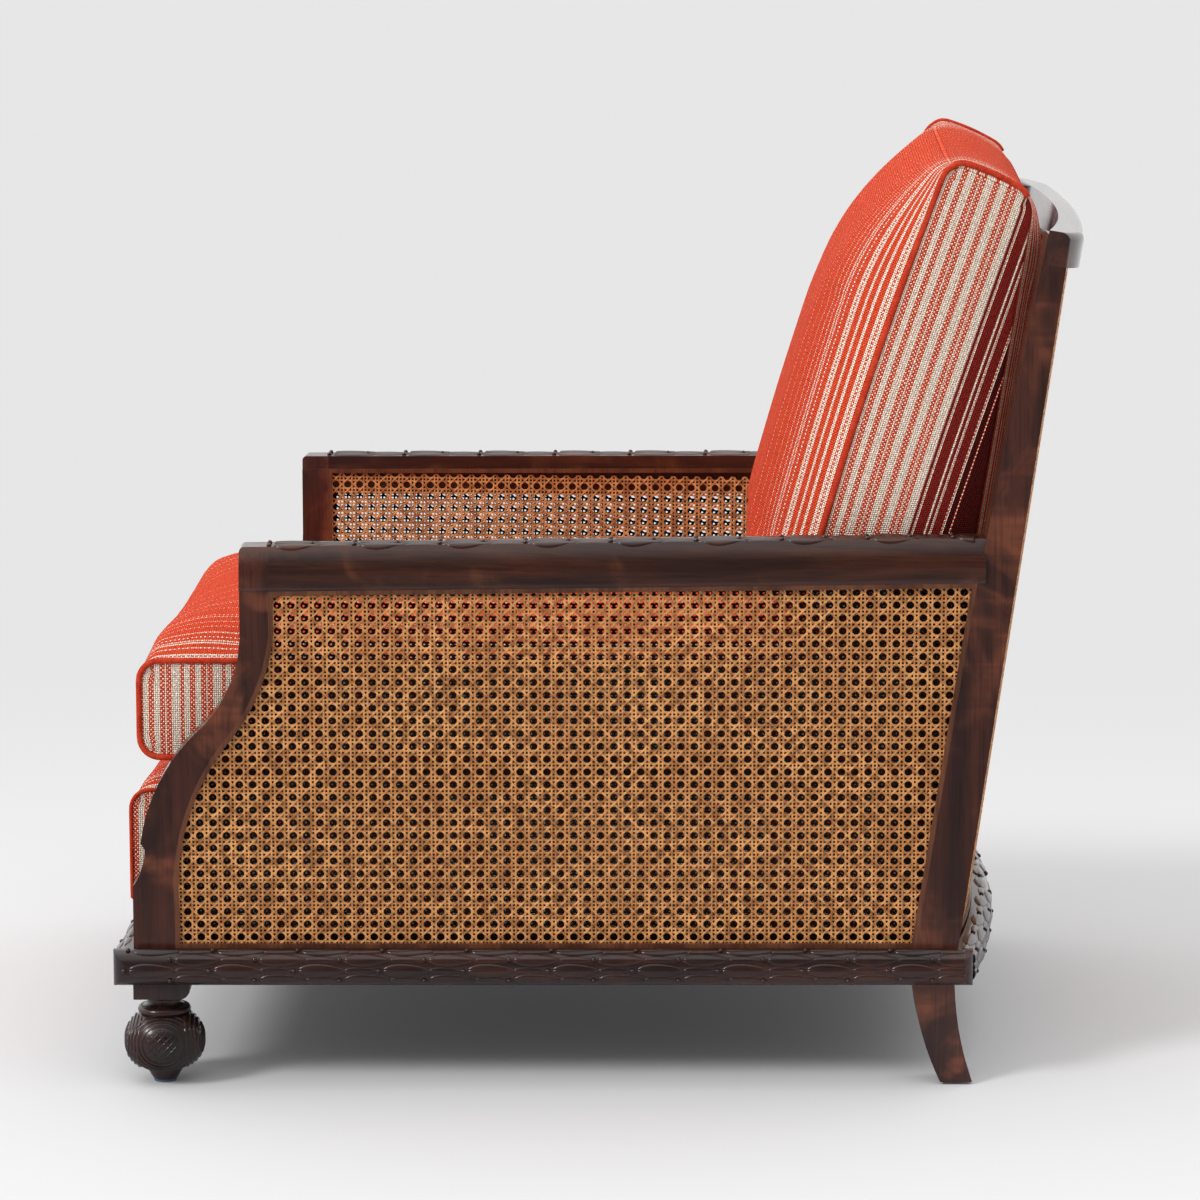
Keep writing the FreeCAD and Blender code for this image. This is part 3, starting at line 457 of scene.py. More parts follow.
GLIDE = plain_material("nylon_glide", (0.07, 0.10, 0.17), 0.35, 0.5, 900)
LINING = plain_material("black_lining", (0.012, 0.012, 0.012), 0.8, 0.95, 1500)

CAD_FINISHES = {
    "front_post": WOOD_UPRIGHT, "rear_post": WOOD_UPRIGHT, "arm_rail": WOOD_ARM, "crest_rail": WOOD_CREST,
    "front_seat_rail": WOOD_CARVED_ACROSS, "rear_seat_rail": WOOD_CARVED_ACROSS, "seat_rail": WOOD_CARVED,
    "front_base_moulding": WOOD_CARVED_ACROSS, "rear_base_moulding": WOOD_CARVED_ACROSS,
    "base_moulding": WOOD_CARVED, "corner_block": WOOD_RAW, "foot": WOOD_FOOT, "glide": GLIDE,
    "dust_cover": LINING, "bead": WOOD_BEAD, "cane": CANE,
}


def finish_cad_nodes():
    """Each CAD node takes the finish of the first ending that fits its name."""
    for name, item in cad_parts.items():
        for ending, material in CAD_FINISHES.items():
            if name.endswith(ending):
                for place in item.material_slots:
                    place.material = material
                break


# Pieces

def make_piece(name, shape, material, body="frame", replaced=()):
    mesh = mesh_from(name, shape)
    mesh.materials.append(material)
    item = link_new(name, mesh)
    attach(item, body)
    if replaced:
        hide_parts(*replaced)


def make_pair(name, shape, material, replaced=""):
    """A piece on the left and its mirror on the right; replaced names the CAD node that each stands for."""
    for word, each in (("left", shape), ("right", mirrored_copy(shape))):
        nodes = [word + "_" + replaced] if replaced else []
        make_piece(word + "_" + name, each, material, replaced=nodes)


def both_sides(name, shape, material):
    """A piece drawn in the left side frame's axes, and its mirror on the right."""
    bmesh.ops.transform(shape, matrix=LEFT_PLACE, verts=shape.verts)
    make_pair(name, shape, material)


# Cane

CANE_PITCH = (14.07 * MM, 13.69 * MM)
CANE_HOLE = (57.2 * MM, 160.2 * MM)
CANE_LEAD = 4
SIDE_HOLES = (66, 33)
BACK_HOLES = (49, 57)
BACK_HOLES_TO_MIDDLE = 20
STRAND_WIDTH = 1.95 * MM
STRAND_THICK = 0.7 * MM
PAIR_OFFSET = 2.05 * MM
SHEET_THICK = 2 * MM
STRAND_TAPER = 0.45
RAIL_DEPTH = 0.15 * MM
UPRIGHT_DEPTH = 0.55 * MM
DIAGONAL_DEPTH = 0.65 * MM
DIAGONAL_WAVE = 0.6 * MM


def cut_strand(start, step, count, depth):
    """A flat-backed strand in the plane of the panel, with a section at every step."""
    shape = bmesh.new()
    across = Vector((0, -step.z, step.y)).normalized()
    made = bmesh.ops.create_grid(shape, x_segments=count, y_segments=1, size=0.5)
    lay = Matrix.Identity(4)
    lay.col[0] = (*(step * count), 0)
    lay.col[1] = (*(across * STRAND_WIDTH), 0)
    lay.col[2] = (1, 0, 0, 0)
    lay.col[3] = (*(start + step * count / 2 + Vector((depth, 0, 0))), 1)
    bmesh.ops.transform(shape, matrix=lay, verts=made["verts"])
    made = bmesh.ops.extrude_face_region(shape, geom=shape.faces[:])
    middle = start.dot(across)
    for vert in verts_in(made):
        drift = across * ((vert.co.dot(across) - middle) * -STRAND_TAPER)
        vert.co += drift + Vector((STRAND_THICK, 0, 0))
    return shape


def repeat(shape, offset, count):
    """Fills a shape with count copies of itself, each moved on by the offset."""
    size, made = len(shape.faces), 1
    while made < count:
        more = min(made, count - made)
        shape.faces.ensure_lookup_table()
        copy = bmesh.ops.duplicate(shape, geom=shape.faces[:more * size])
        bmesh.ops.translate(shape, vec=Vector(offset) * made, verts=verts_in(copy))
        made += more
    return shape


def six_way_weave(first_hole, columns, rows):
    """Rails and uprights in pairs between the holes, and a diagonal each way over and under them.

    x is depth, y along and z up; it starts CANE_LEAD holes before the first."""
    along, up = CANE_PITCH
    low = Vector((0, first_hole[0] - CANE_LEAD * along, first_hole[1] - CANE_LEAD * up))
    rail_low = low + Vector((0, 0, up / 2 - PAIR_OFFSET))
    rail = cut_strand(rail_low, Vector((0, along, 0)), columns, RAIL_DEPTH)
    repeat(repeat(rail, (0, 0, 2 * PAIR_OFFSET), 2), (0, 0, up), rows)
    upright_low = low + Vector((0, along / 2 - PAIR_OFFSET, 0))
    upright = cut_strand(upright_low, Vector((0, 0, up)), rows, UPRIGHT_DEPTH)
    repeat(repeat(upright, (0, 2 * PAIR_OFFSET, 0), 2), (0, along, 0), columns)
    parts = [rail, upright]
    for lean in (1, -1):
        first = 0.5 - (rows if lean > 0 else 0)
        half_step = Vector((0, along * lean / 2, up / 2))
        lone = cut_strand(low + Vector((0, first * along, 0)), half_step, rows * 2, DIAGONAL_DEPTH)
        repeat(lone, (0, along, 0), columns + rows)
        for vert in lone.verts:
            phase = (vert.co.y - first_hole[0]) / along * math.tau
            vert.co.x += math.cos(phase) * lean * DIAGONAL_WAVE
        parts.append(lone)
    return gather(parts)


def trim_to_sheet(weave, node, to_world, facing):
    """Keeps what lies over the CAD sheet, a step past its edge into the wood, and seats it on it."""
    tree = BVHTree.FromObject(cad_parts[node], bpy.context.evaluated_depsgraph_get())
    from_world = to_world.inverted()
    ahead = (to_world.to_3x3() @ Vector((-facing, 0, 0))).normalized()

    def face_at(y, z):
        hit, _, _, _ = tree.ray_cast(to_world @ Vector((facing * RAY_START, y, z)), ahead)
        return None if hit is None else (from_world @ hit).x

    faces = {vert: face_at(vert.co.y, vert.co.z) for vert in weave.verts}
    outside = [face for face in weave.faces if all(faces[vert] is None for vert in face.verts)]
    found = [vert.co for vert, face in faces.items() if face is not None]
    middle = sum(found, Vector()) / len(found)
    bmesh.ops.delete(weave, geom=outside, context="FACES")
    for vert in weave.verts:
        face = faces[vert]
        inward = (middle - vert.co).normalized() * STRAND_WIDTH
        spot = vert.co.copy()
        while face is None:
            spot += inward
            face = face_at(spot.y, spot.z)
        vert.co.x = face + facing * (vert.co.x - SHEET_THICK)
    bmesh.ops.transform(weave, matrix=to_world, verts=weave.verts)
    open_edges = [edge for edge in weave.edges if edge.is_boundary]
    bmesh.ops.holes_fill(weave, edges=open_edges, sides=4)
    bmesh.ops.recalc_face_normals(weave, faces=weave.faces)


def weave_side_panels():
    for layer, facing, material in (("outer", 1, CANE_OUTER), ("inner", -1, CANE_INNER)):
        weave = six_way_weave(CANE_HOLE, *SIDE_HOLES)
        trim_to_sheet(weave, "left_%s_cane" % layer, LEFT_PLACE, facing)
        make_pair(layer + "_weave", weave, material, layer + "_cane")


def weave_back_panels():
    across_middle = Matrix(((0, 1, 0, 0), (1, 0, 0, -MIDDLE_ALONG), (0, 0, 1, 0), (0, 0, 0, 1)))
    first = (-BACK_HOLES_TO_MIDDLE * CANE_PITCH[0], CANE_HOLE[1])
    for layer, facing in (("outer", 1), ("inner", -1)):
        weave = six_way_weave(first, *BACK_HOLES)
        trim_to_sheet(weave, "back_%s_cane" % layer, across_middle, facing)
        make_piece("back_%s_weave" % layer, weave, CANE, replaced=["back_%s_cane" % layer])


# Striped cloth: a stripe is (middle, width, share of cream) in mm from the cloth's edge.
# A share below 0 is deep red yarn, partly painted shade where the boxing nears the post, and one below -1.2
# is painted darker still, as shade

BACK_CROWN_STRIPES = (
    (7, 3.2, 0.95), (10.3, 2.2, 0.5), (13.6, 3.2, 0.95), (24.5, 3.4, 0.95), (35, 3.2, 0.9),
    (46, 3, 0.92), (49, 2, 0.45), (52, 3, 0.92), (63, 2.4, 0.5), (71, 2.6, 0.62), (76, 2.6, 0.62),
    (85, 2.2, 0.42), (96, 2.2, 0.4), (110, 1.8, 0.36), (128, 1.6, 0.34), (150, 1.6, 0.34),
    (181, 1.6, 0.32), (214, 1.6, 0.34), (250, 1.6, 0.32),
)
SEAT_CROWN_STRIPES = (
    (5, 2.8, 0.92), (7.5, 1.6, 0.5), (10, 2.8, 0.92), (21.5, 2.2, 0.6), (31, 2.4, 0.88), (35, 2.4, 0.7),
    (42, 2, 0.45), (52, 2.2, 0.6), (66, 1.8, 0.4), (78, 1.8, 0.42), (92, 2, 0.48), (98, 1.8, 0.4),
    (122, 1.6, 0.36), (146, 1.8, 0.4), (152, 1.6, 0.36), (184, 1.6, 0.34), (222, 1.6, 0.36),
    (262, 1.6, 0.34),
)
# The deep red stripes from 89 mm on are partly a deeper yarn and partly painted shade beside the post; the
# one at 140 mm, below -1.2, is painted shade
BACK_BOXING_STRIPES = (
    (0.3, 1.6, 0), (8.7, 6, 0.29), (20.6, 6, 0.29), (27.8, 1.2, 0.8), (34.2, 5.2, 0.29), (37.7, 1.5, 0.7),
    (41.2, 5.2, 0.29), (50, 1.2, 0.8), (55.5, 6.2, 0.29), (69.3, 4.8, 0.29), (72.7, 1.5, 0.7),
    (76.1, 4.8, 0.29), (89, 3.2, -0.8), (103, 21, -0.8), (104, 2.2, 0.9), (109.6, 2.2, 0.85),
    (117, 8.6, -1.0), (120.7, 1.6, 0.5), (140, 35, -2), (129.2, 1.4, 0.4), (91.8, 1.8, 0.85),
)
SEAT_BOXING_STRIPES = ((1.2, 6, 0.29), (13, 6, 0.29), (25, 5.6, 0.29), (32, 5.6, 0.29))
BOXING_REPEAT = 44 * MM
WEAVE_CELL = 2.3 * MM
TWILL_PITCH = 3.4 * MM
YARN_DRIFT = (0.7 * MM, 1.0 * MM, 0)
SLUB_SCALE = (900, 210, 1)
FLECK_SCALE = 760
RED_YARN = (0.77, 0.062, 0.022, 1)
# Deep red yarn, also laid on as painted shade where the back cushion's boxing nears the post
DEEP_YARN_AND_SHADE = (0.24, 0.018, 0.013, 1)
ORANGE_YARN = (0.92, 0.165, 0.062, 1)
CREAM_YARN = (0.97, 0.84, 0.69, 1)
CLOTH_SHEEN = {"Specular IOR Level": 0.15, "IOR": 1.35}


def make_weave_group():
    """Coarse slubby cloth: red and cream yarn by the share of cream, in cells of weft over warp, with
    painted shade in the pits between yarns and below a share of -1.2.
    """
    group, given, result = new_group("slub_weave", [
        ("Vector", "Vector", None),
        ("Cream", "Float", 0.0),
        ("Red yarn", "Color", RED_YARN),
        ("Deep yarn and shade", "Color", DEEP_YARN_AND_SHADE),
        ("Cream yarn", "Color", CREAM_YARN),
    ], [("Color", "Color"), ("Height", "Float"), ("Roughness", "Float")])
    vector, cream, red_yarn, deep_yarn_and_shade, cream_yarn = given.outputs[:5]

    def wave(value, pitch):
        turned = add_math(group, "MULTIPLY", value, math.pi / pitch)
        return add_math(group, "ABSOLUTE", add_math(group, "SINE", turned))

    wobble = group.nodes.new("ShaderNodeTexNoise")
    set_inputs(wobble, {"Scale": 300, "Detail": 2})
    group.links.new(vector, wobble.inputs["Vector"])
    drift = group.nodes.new("ShaderNodeVectorMath")
    drift.operation = "MULTIPLY_ADD"
    group.links.new(wobble.outputs["Color"], drift.inputs[0])
    drift.inputs[1].default_value = YARN_DRIFT
    group.links.new(vector, drift.inputs[2])
    checker = group.nodes.new("ShaderNodeTexChecker")
    checker.inputs["Scale"].default_value = 1 / WEAVE_CELL
    group.links.new(drift.outputs[0], checker.inputs["Vector"])
    across, run, _ = add_split(group, drift.outputs[0])
    yarn = add_math(group, "MULTIPLY", wave(across, WEAVE_CELL), wave(run, WEAVE_CELL))
    rib = wave(add_math(group, "ADD", across, run), TWILL_PITCH)
    slub = add_noise(group, add_mapping(group, vector, SLUB_SCALE), 1, 3, 0.7)
    fleck = add_noise(group, vector, FLECK_SCALE, 2, 0.6)

    speckle = add_math(group, "MULTIPLY", add_math(group, "SUBTRACT", fleck, 0.5), 0.6)
    dot = add_math(group, "MULTIPLY", add_math(group, "SUBTRACT", yarn, 0.55), 0.6)
    dot = add_math(group, "MULTIPLY", dot, add_math(group, "MULTIPLY", cream, 2.4, clamp=True))
    share = cream
    for part in (add_math(group, "MULTIPLY", checker.outputs["Fac"], 0.5), speckle, dot):
        share = add_math(group, "ADD", share, part)

    warm = add_mix(group, add_range(group, fleck, 0.45, 0.75), red_yarn, ORANGE_YARN)
    warm = add_shade(group, warm, add_range(group, rib, 0.0, 0.7, 0.5, 1.12))
    # Below a share of -0.3 the red turns to the deep yarn, which partly stands as painted shade
    warm = add_mix(group, add_range(group, cream, -0.3, -0.7), warm, deep_yarn_and_shade)
    colour = add_mix(group, add_range(group, share, 0.71, 0.81), warm, cream_yarn)
    colour = add_shade(group, colour, add_range(group, slub, 0.28, 0.72, 0.6, 1.38))
    # Painted shade: a share below -1.2 darkens the colour, and the pits between yarns are painted darker
    # with the yarn tops a touch lighter, as painted shade and highlight
    stripe_shade = add_range(group, cream, -1.2, -1.8, 1.0, 0.3)
    pit_and_stripe_shade = add_math(group, "MULTIPLY", add_range(group, yarn, 0.0, 0.4, 0.36, 1.1), stripe_shade)
    group.links.new(add_shade(group, colour, pit_and_stripe_shade), result.inputs["Color"])
    height = add_math(group, "ADD", add_math(group, "MULTIPLY", add_math(group, "ADD", yarn, rib), 0.7),
                      add_math(group, "MULTIPLY", slub, 0.9))
    group.links.new(height, result.inputs["Height"])
    group.links.new(add_range(group, slub, 0.2, 0.8, 0.95, 0.8), result.inputs["Roughness"])
    return group


WEAVE = make_weave_group()


def add_stripes(tree, across, stripes, ground):
    """The share of cream yarn by distance from the cloth's edge."""
    total = ground
    for place, width, share in stripes:
        away = add_math(tree, "ABSOLUTE", add_math(tree, "SUBTRACT", across, place * MM))
        inside = add_math(tree, "LESS_THAN", away, width * MM / 2)
        change = add_math(tree, "MULTIPLY", inside, add_math(tree, "SUBTRACT", share, total))
        total = add_math(tree, "ADD", total, change)
    return total


def cloth_material(name, stripes, repeat=0.0, ground=0.0):
    """Woven cloth laid out flat in metres; ground is the share of cream between the stripes."""
    material, tree, shader, _ = new_material(name)
    flat = tree.nodes.new("ShaderNodeUVMap")
    flat.uv_map = "cloth"
    cloth = add_group(tree, WEAVE, flat.outputs[0])
    across = add_split(tree, flat.outputs[0])[0]
    if repeat:
        across = add_math(tree, "MODULO", across, repeat)
    tree.links.new(add_stripes(tree, across, stripes, ground), cloth.inputs["Cream"])
    connect(tree, shader, cloth.outputs["Color"], cloth.outputs["Roughness"],
            add_bump(tree, cloth.outputs["Height"], 1.0, 1.6 * MM))
    set_inputs(shader, CLOTH_SHEEN)
    return material


WELT_DARK = (0.22, 0.018, 0.008, 1)
WELT_RED = (0.56, 0.042, 0.016, 1)
WELT_WARM = (0.60, 0.075, 0.03, 1)


def welt_material():
    """Self welt: the red ground cut on the bias, with a fine twist across the cord."""
    material, tree, shader, place = new_material("welt_cloth")
    tone = add_noise(tree, place, 620, 3, 0.7)
    slow = add_noise(tree, place, 60, 2, 0.5)
    colour = add_mix(tree, add_range(tree, tone, 0.3, 0.7), WELT_DARK, WELT_RED)
    colour = add_mix(tree, add_range(tree, slow, 0.4, 0.7, 0, 0.35), colour, WELT_WARM)
    connect(tree, shader, colour, add_range(tree, tone, 0.2, 0.8, 0.95, 0.8),
            add_bump(tree, tone, 0.6, 0.9 * MM))
    set_inputs(shader, CLOTH_SHEEN)
    return material


CLOTH_SEAT_CROWN = cloth_material("striped_seat_panel", SEAT_CROWN_STRIPES)
CLOTH_BACK_CROWN = cloth_material("striped_back_panel", BACK_CROWN_STRIPES)
CLOTH_BACK_BOXING = cloth_material("striped_back_boxing", BACK_BOXING_STRIPES, 0, 1.0)
CLOTH_SEAT_BOXING = cloth_material("striped_seat_boxing", SEAT_BOXING_STRIPES, BOXING_REPEAT, 1.0)
CLOTH_WELT = welt_material()


# Soft goods: one panel wraps each cushion from its front over its top, between two welted side boxings.
# Each starts as a unit block cut into a grid, so every point knows its place

CLOTH_FRAMES = 20
SEAM_SPACING = 0.6
BLOCK_EDGE = 0.4999
WELT_RADIUS = 3.3 * MM
DECK_WELT_RADIUS = 2.2 * MM
SIDE_DRAW = 3 * MM


def unit_block(columns, rows, layers):
    """A unit cube whose edges are cut into even squares, each way by its own count."""
    shape = bmesh.new()
    bmesh.ops.create_cube(shape, size=1)
    for axis, count in enumerate((columns, rows, layers)):
        edges = [e for e in shape.edges if abs(e.verts[0].co[axis] - e.verts[1].co[axis]) > 0.5]
        bmesh.ops.subdivide_edges(shape, edges=edges, cuts=count - 1, use_grid_fill=True)
    return shape


def crowd(place):
    """Draws a block's inner points towards its ends, where the seams turn."""
    return place + SEAM_SPACING * math.sin(place * math.tau) / math.tau


def rounded_profile(run, level, half_length, half_height, corner):
    """Moves a point of a block seen from its side so that the outline's corners become round."""
    y, z = run * 2 * half_length, level * 2 * half_height
    over_y = (abs(y) - (half_length - corner)) / corner
    over_z = (abs(z) - (half_height - corner)) / corner
    if over_y > 0 and over_z > 0:
        pull = max(over_y, over_z) / math.hypot(over_y, over_z)
        y = math.copysign(half_length - corner + over_y * pull * corner, y)
        z = math.copysign(half_height - corner + over_z * pull * corner, z)
    return y, z


def crown_rise(inset, reach):
    """How far a crown has risen, from 0 at its seam to 1 where it has reached its height."""
    left = 1 - min(max(inset, 0) / reach, 1)
    return 1 - left * left


def belly(place):
    """1 in the middle of a block's side and 0 at its edges."""
    return 1 - (place * 2) ** 2


def from_seam(unit, half):
    """Distance across the cushion from the nearer side seam."""
    return (0.5 - abs(unit.x)) * 2 * half


def draw_in(unit, x):
    """Side boxings pull in between their seams."""
    if abs(unit.x) < BLOCK_EDGE:
        return x
    return x - math.copysign(SIDE_DRAW * belly(unit.z) * (0.4 + 0.6 * belly(unit.y)), x)


def cushion_regions(shape):
    """Splits a block's faces into its wrapped panel (0) and its side boxings (1)."""
    regions = {}
    for face in shape.faces:
        size = [abs(part) for part in face.calc_center_median()]
        regions[face.index] = int(size.index(max(size)) == 0)
    return regions


def simulate(item, held, limit, pressure):
    """A short Cloth run that fills the panels between their held seams, its travel capped."""
    mesh = item.data
    group = item.vertex_groups.new(name="held")
    group.add(held, 1.0, "REPLACE")
    before = [vert.co.copy() for vert in mesh.vertices]
    cloth = item.modifiers.new("fill", "CLOTH")
    cloth.settings.use_pressure = True
    cloth.settings.uniform_pressure_force = pressure
    cloth.settings.effector_weights.gravity = 0
    cloth.settings.vertex_group_mass = "held"
    cloth.settings.quality = 6
    cloth.settings.mass = 0.4
    cloth.settings.tension_stiffness = 25
    cloth.settings.compression_stiffness = 25
    cloth.settings.bending_stiffness = 2
    cloth.point_cache.frame_start = 1
    cloth.point_cache.frame_end = CLOTH_FRAMES
    scene = bpy.context.scene
    for step in range(1, CLOTH_FRAMES + 1):
        scene.frame_set(step)
    filled = item.evaluated_get(bpy.context.evaluated_depsgraph_get())
    after = [vert.co.copy() for vert in filled.to_mesh().vertices]
    filled.to_mesh_clear()
    item.modifiers.remove(cloth)
    scene.frame_set(1)
    for vert, start, end in zip(mesh.vertices, before, after):
        move = end - start
        if move.length > limit:
            move *= limit / move.length
        vert.co = start + move
    item.vertex_groups.remove(group)


def add_piping(name, points, closed, radius, body):
    """A round welt sewn along a seam."""
    curve = bpy.data.curves.new(name, "CURVE")
    curve.dimensions = "3D"
    spline = curve.splines.new("POLY")
    spline.points.add(len(points) - 1)
    for point, place in zip(spline.points, points):
        point.co = (*place, 1)
    spline.use_cyclic_u = closed
    curve.use_fill_caps = not closed
    curve.bevel_depth = radius
    curve.bevel_resolution = 3
    holder = link_new(name, curve)
    mesh = bpy.data.meshes.new_from_object(holder)
    bpy.data.objects.remove(holder)
    shape = bmesh.new()
    shape.from_mesh(mesh)
    bmesh.ops.remove_doubles(shape, verts=shape.verts, dist=0.01 * MM)
    bmesh.ops.recalc_face_normals(shape, faces=shape.faces)
    set_smooth(shape)
    make_piece(name, shape, CLOTH_WELT, body)


def make_cushion(name, counts, form, flat, cloths, body, limit, pressure, welt,
                 seam_shown=lambda place: True):
    """A wrapped cushion. form places a point of the unit block, and flat gives its place on the cloth."""
    shape = unit_block(*counts)
    shape.verts.index_update()
    shape.faces.index_update()
    regions = cushion_regions(shape)
    unit = {vert.index: Vector((vert.co.x, crowd(vert.co.y), crowd(vert.co.z))) for vert in shape.verts}
    layer = shape.loops.layers.uv.new("cloth")
    for face in shape.faces:
        region = regions[face.index]
        face.material_index = region
        face.smooth = True
        for loop in face.loops:
            loop[layer].uv = flat(region, unit[loop.vert.index])
    for vert in shape.verts:
        vert.co = form(unit[vert.index])
    stuffed = name + "_stuffed"
    mesh = mesh_from(stuffed, shape)
    for cloth in cloths:
        mesh.materials.append(cloth)
    item = link_new(stuffed, mesh)
    seams = {index: place for index, place in unit.items()
             if abs(place.x) > BLOCK_EDGE and max(abs(place.y), abs(place.z)) > BLOCK_EDGE}
    simulate(item, list(seams), limit, pressure)
    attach(item, body)
    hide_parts(name)
    for word, side in (("left", 1), ("right", -1)):
        seam = sorted((index for index, place in seams.items() if place.x * side > 0 and seam_shown(place)),
                      key=lambda index: math.atan2(seams[index].y, seams[index].z))
        points = [mesh.vertices[index].co.copy() for index in seam]
        add_piping("%s_%s_welt" % (name, word), points, len(seam) * 2 == len(seams), welt, body)


# Seat cushion

SEAT_FRONT = 4 * MM
SEAT_BACK = 822 * MM
SEAT_LOW_WELT = 345 * MM
SEAT_HIGH_WELT = 449 * MM
SEAT_CROWN = 33.5 * MM
SEAT_CROWN_LEAD = 0.36
SEAT_LEAD_REACH = 80 * MM
SEAT_CROWN_REACH = 120 * MM
SEAT_END_REACH = 60 * MM
SEAT_SINK = 14.5 * MM
SEAT_CORNER = 22 * MM
SEAT_BULGE = 1 * MM
SEAT_CLEAR = POST_HALF + 5 * MM
SEAT_EASE = 1.04
SEAT_LENGTH = SEAT_BACK - SEAT_FRONT
SEAT_HEIGHT = SEAT_HIGH_WELT - SEAT_LOW_WELT


def seat_form(unit):
    run, level = rounded_profile(unit.y, unit.z, SEAT_LENGTH / 2, SEAT_HEIGHT / 2, SEAT_CORNER)
    y = (SEAT_FRONT + SEAT_BACK) / 2 + run
    z = (SEAT_LOW_WELT + SEAT_HIGH_WELT) / 2 + level
    half = inner_half(y) - SEAT_CLEAR
    inner = crown_rise(from_seam(unit, half), SEAT_CROWN_REACH)
    if unit.z > BLOCK_EDGE:
        lead = SEAT_CROWN_LEAD + (1 - SEAT_CROWN_LEAD) * crown_rise(y - SEAT_FRONT, SEAT_LEAD_REACH)
        z += SEAT_CROWN * inner * lead * crown_rise(SEAT_BACK - y, SEAT_END_REACH)
    elif unit.z < -BLOCK_EDGE:
        z -= SEAT_SINK * inner * crown_rise(y - SEAT_FRONT, SEAT_END_REACH)
    elif unit.y < -BLOCK_EDGE:
        y -= SEAT_BULGE * inner * belly(unit.z)
        z += SEAT_CROWN * SEAT_CROWN_LEAD * inner * (unit.z + 0.5) ** 2
    return Vector((draw_in(unit, unit.x * 2 * half), y - MIDDLE_ALONG, z))


def seat_flat(region, unit):
    if region == 1:
        return (unit.y + 0.5) * SEAT_LENGTH, unit.z * SEAT_HEIGHT
    half = inner_half((SEAT_FRONT + SEAT_BACK) / 2) - SEAT_CLEAR
    return from_seam(unit, half) * SEAT_EASE, unit.y * SEAT_LENGTH + unit.z * SEAT_HEIGHT


# Sprung deck

DECK_FRONT = -6.5 * MM
DECK_BACK = 810 * MM
DECK_BOTTOM = RAIL_TOP + 0.4 * MM
DECK_WELT = 310 * MM
DECK_CROWN = 20 * MM
DECK_CROWN_REACH = 70 * MM
DECK_CORNER = 21 * MM
DECK_LOW_CORNER = 4 * MM
DECK_CLEAR = POST_HALF + 5 * MM
DECK_HEM = 192 * MM
DECK_HEM_STEP = 6 * MM
DECK_TUCK = 13 * MM
DECK_TUCK_REACH = 40 * MM
DECK_STRIPE_SHIFT = 8 * MM
DECK_LENGTH = DECK_BACK - DECK_FRONT
DECK_HEIGHT = DECK_WELT - DECK_BOTTOM


def deck_form(unit):
    corner = DECK_CORNER if unit.z > 0 else DECK_LOW_CORNER
    run, level = rounded_profile(unit.y, unit.z, DECK_LENGTH / 2, DECK_HEIGHT / 2, corner)
    y = (DECK_FRONT + DECK_BACK) / 2 + run
    z = (DECK_BOTTOM + DECK_WELT) / 2 + level
    half = inner_half(y) - DECK_CLEAR
    below_hem = min(max(DECK_HEM - z, 0) / DECK_HEM_STEP, 1)
    y += DECK_TUCK * below_hem * max(1 - (y - DECK_FRONT) / DECK_TUCK_REACH, 0)
    if unit.z > BLOCK_EDGE:
        inner = crown_rise(from_seam(unit, half), DECK_CROWN_REACH)
        z += DECK_CROWN * inner * crown_rise(y - DECK_FRONT, DECK_CROWN_REACH)
    return Vector((draw_in(unit, unit.x * 2 * half), y - MIDDLE_ALONG, z))


def deck_flat(region, unit):
    if region == 1:
        return (unit.y + 0.5) * DECK_LENGTH + DECK_STRIPE_SHIFT, unit.z * DECK_HEIGHT
    half = inner_half((DECK_FRONT + DECK_BACK) / 2) - DECK_CLEAR
    return from_seam(unit, half), unit.y * DECK_LENGTH + unit.z * DECK_HEIGHT


# Back cushion: across the block is x, up the cushion is y, and from its rear to its front is z

BACK_FOOT = 490.4 * MM
BACK_FRONT_LOW = Vector((0, 699 * MM, BACK_FOOT))
BACK_FRONT_HIGH = Vector((0, 854 * MM, 978 * MM))
BACK_REAR_LOW = Vector((0, 872 * MM, BACK_FOOT))
BACK_REAR_HIGH = Vector((0, 943 * MM, 939 * MM))
BACK_CLIMB = (BACK_FRONT_HIGH - BACK_FRONT_LOW).length
BACK_HALF = 289 * MM
BACK_CROWN = 69 * MM
BACK_CROWN_REACH = 150 * MM
BACK_HEAD_REACH = 175 * MM
BACK_FOOT_REACH = 60 * MM
BACK_FOOT_LEAD = 20 * MM
BACK_REAR_CROWN = 24 * MM
BACK_REAR_CROWN_REACH = 110 * MM
BACK_REAR_END_REACH = 90 * MM
BACK_TOP_BULGE = 5 * MM
BACK_BOW = 7 * MM
BACK_CORNER = 22 * MM
BACK_DEPTH = 118 * MM
BACK_WELT_END = -0.47
FAR_LIFT = 4 * MM


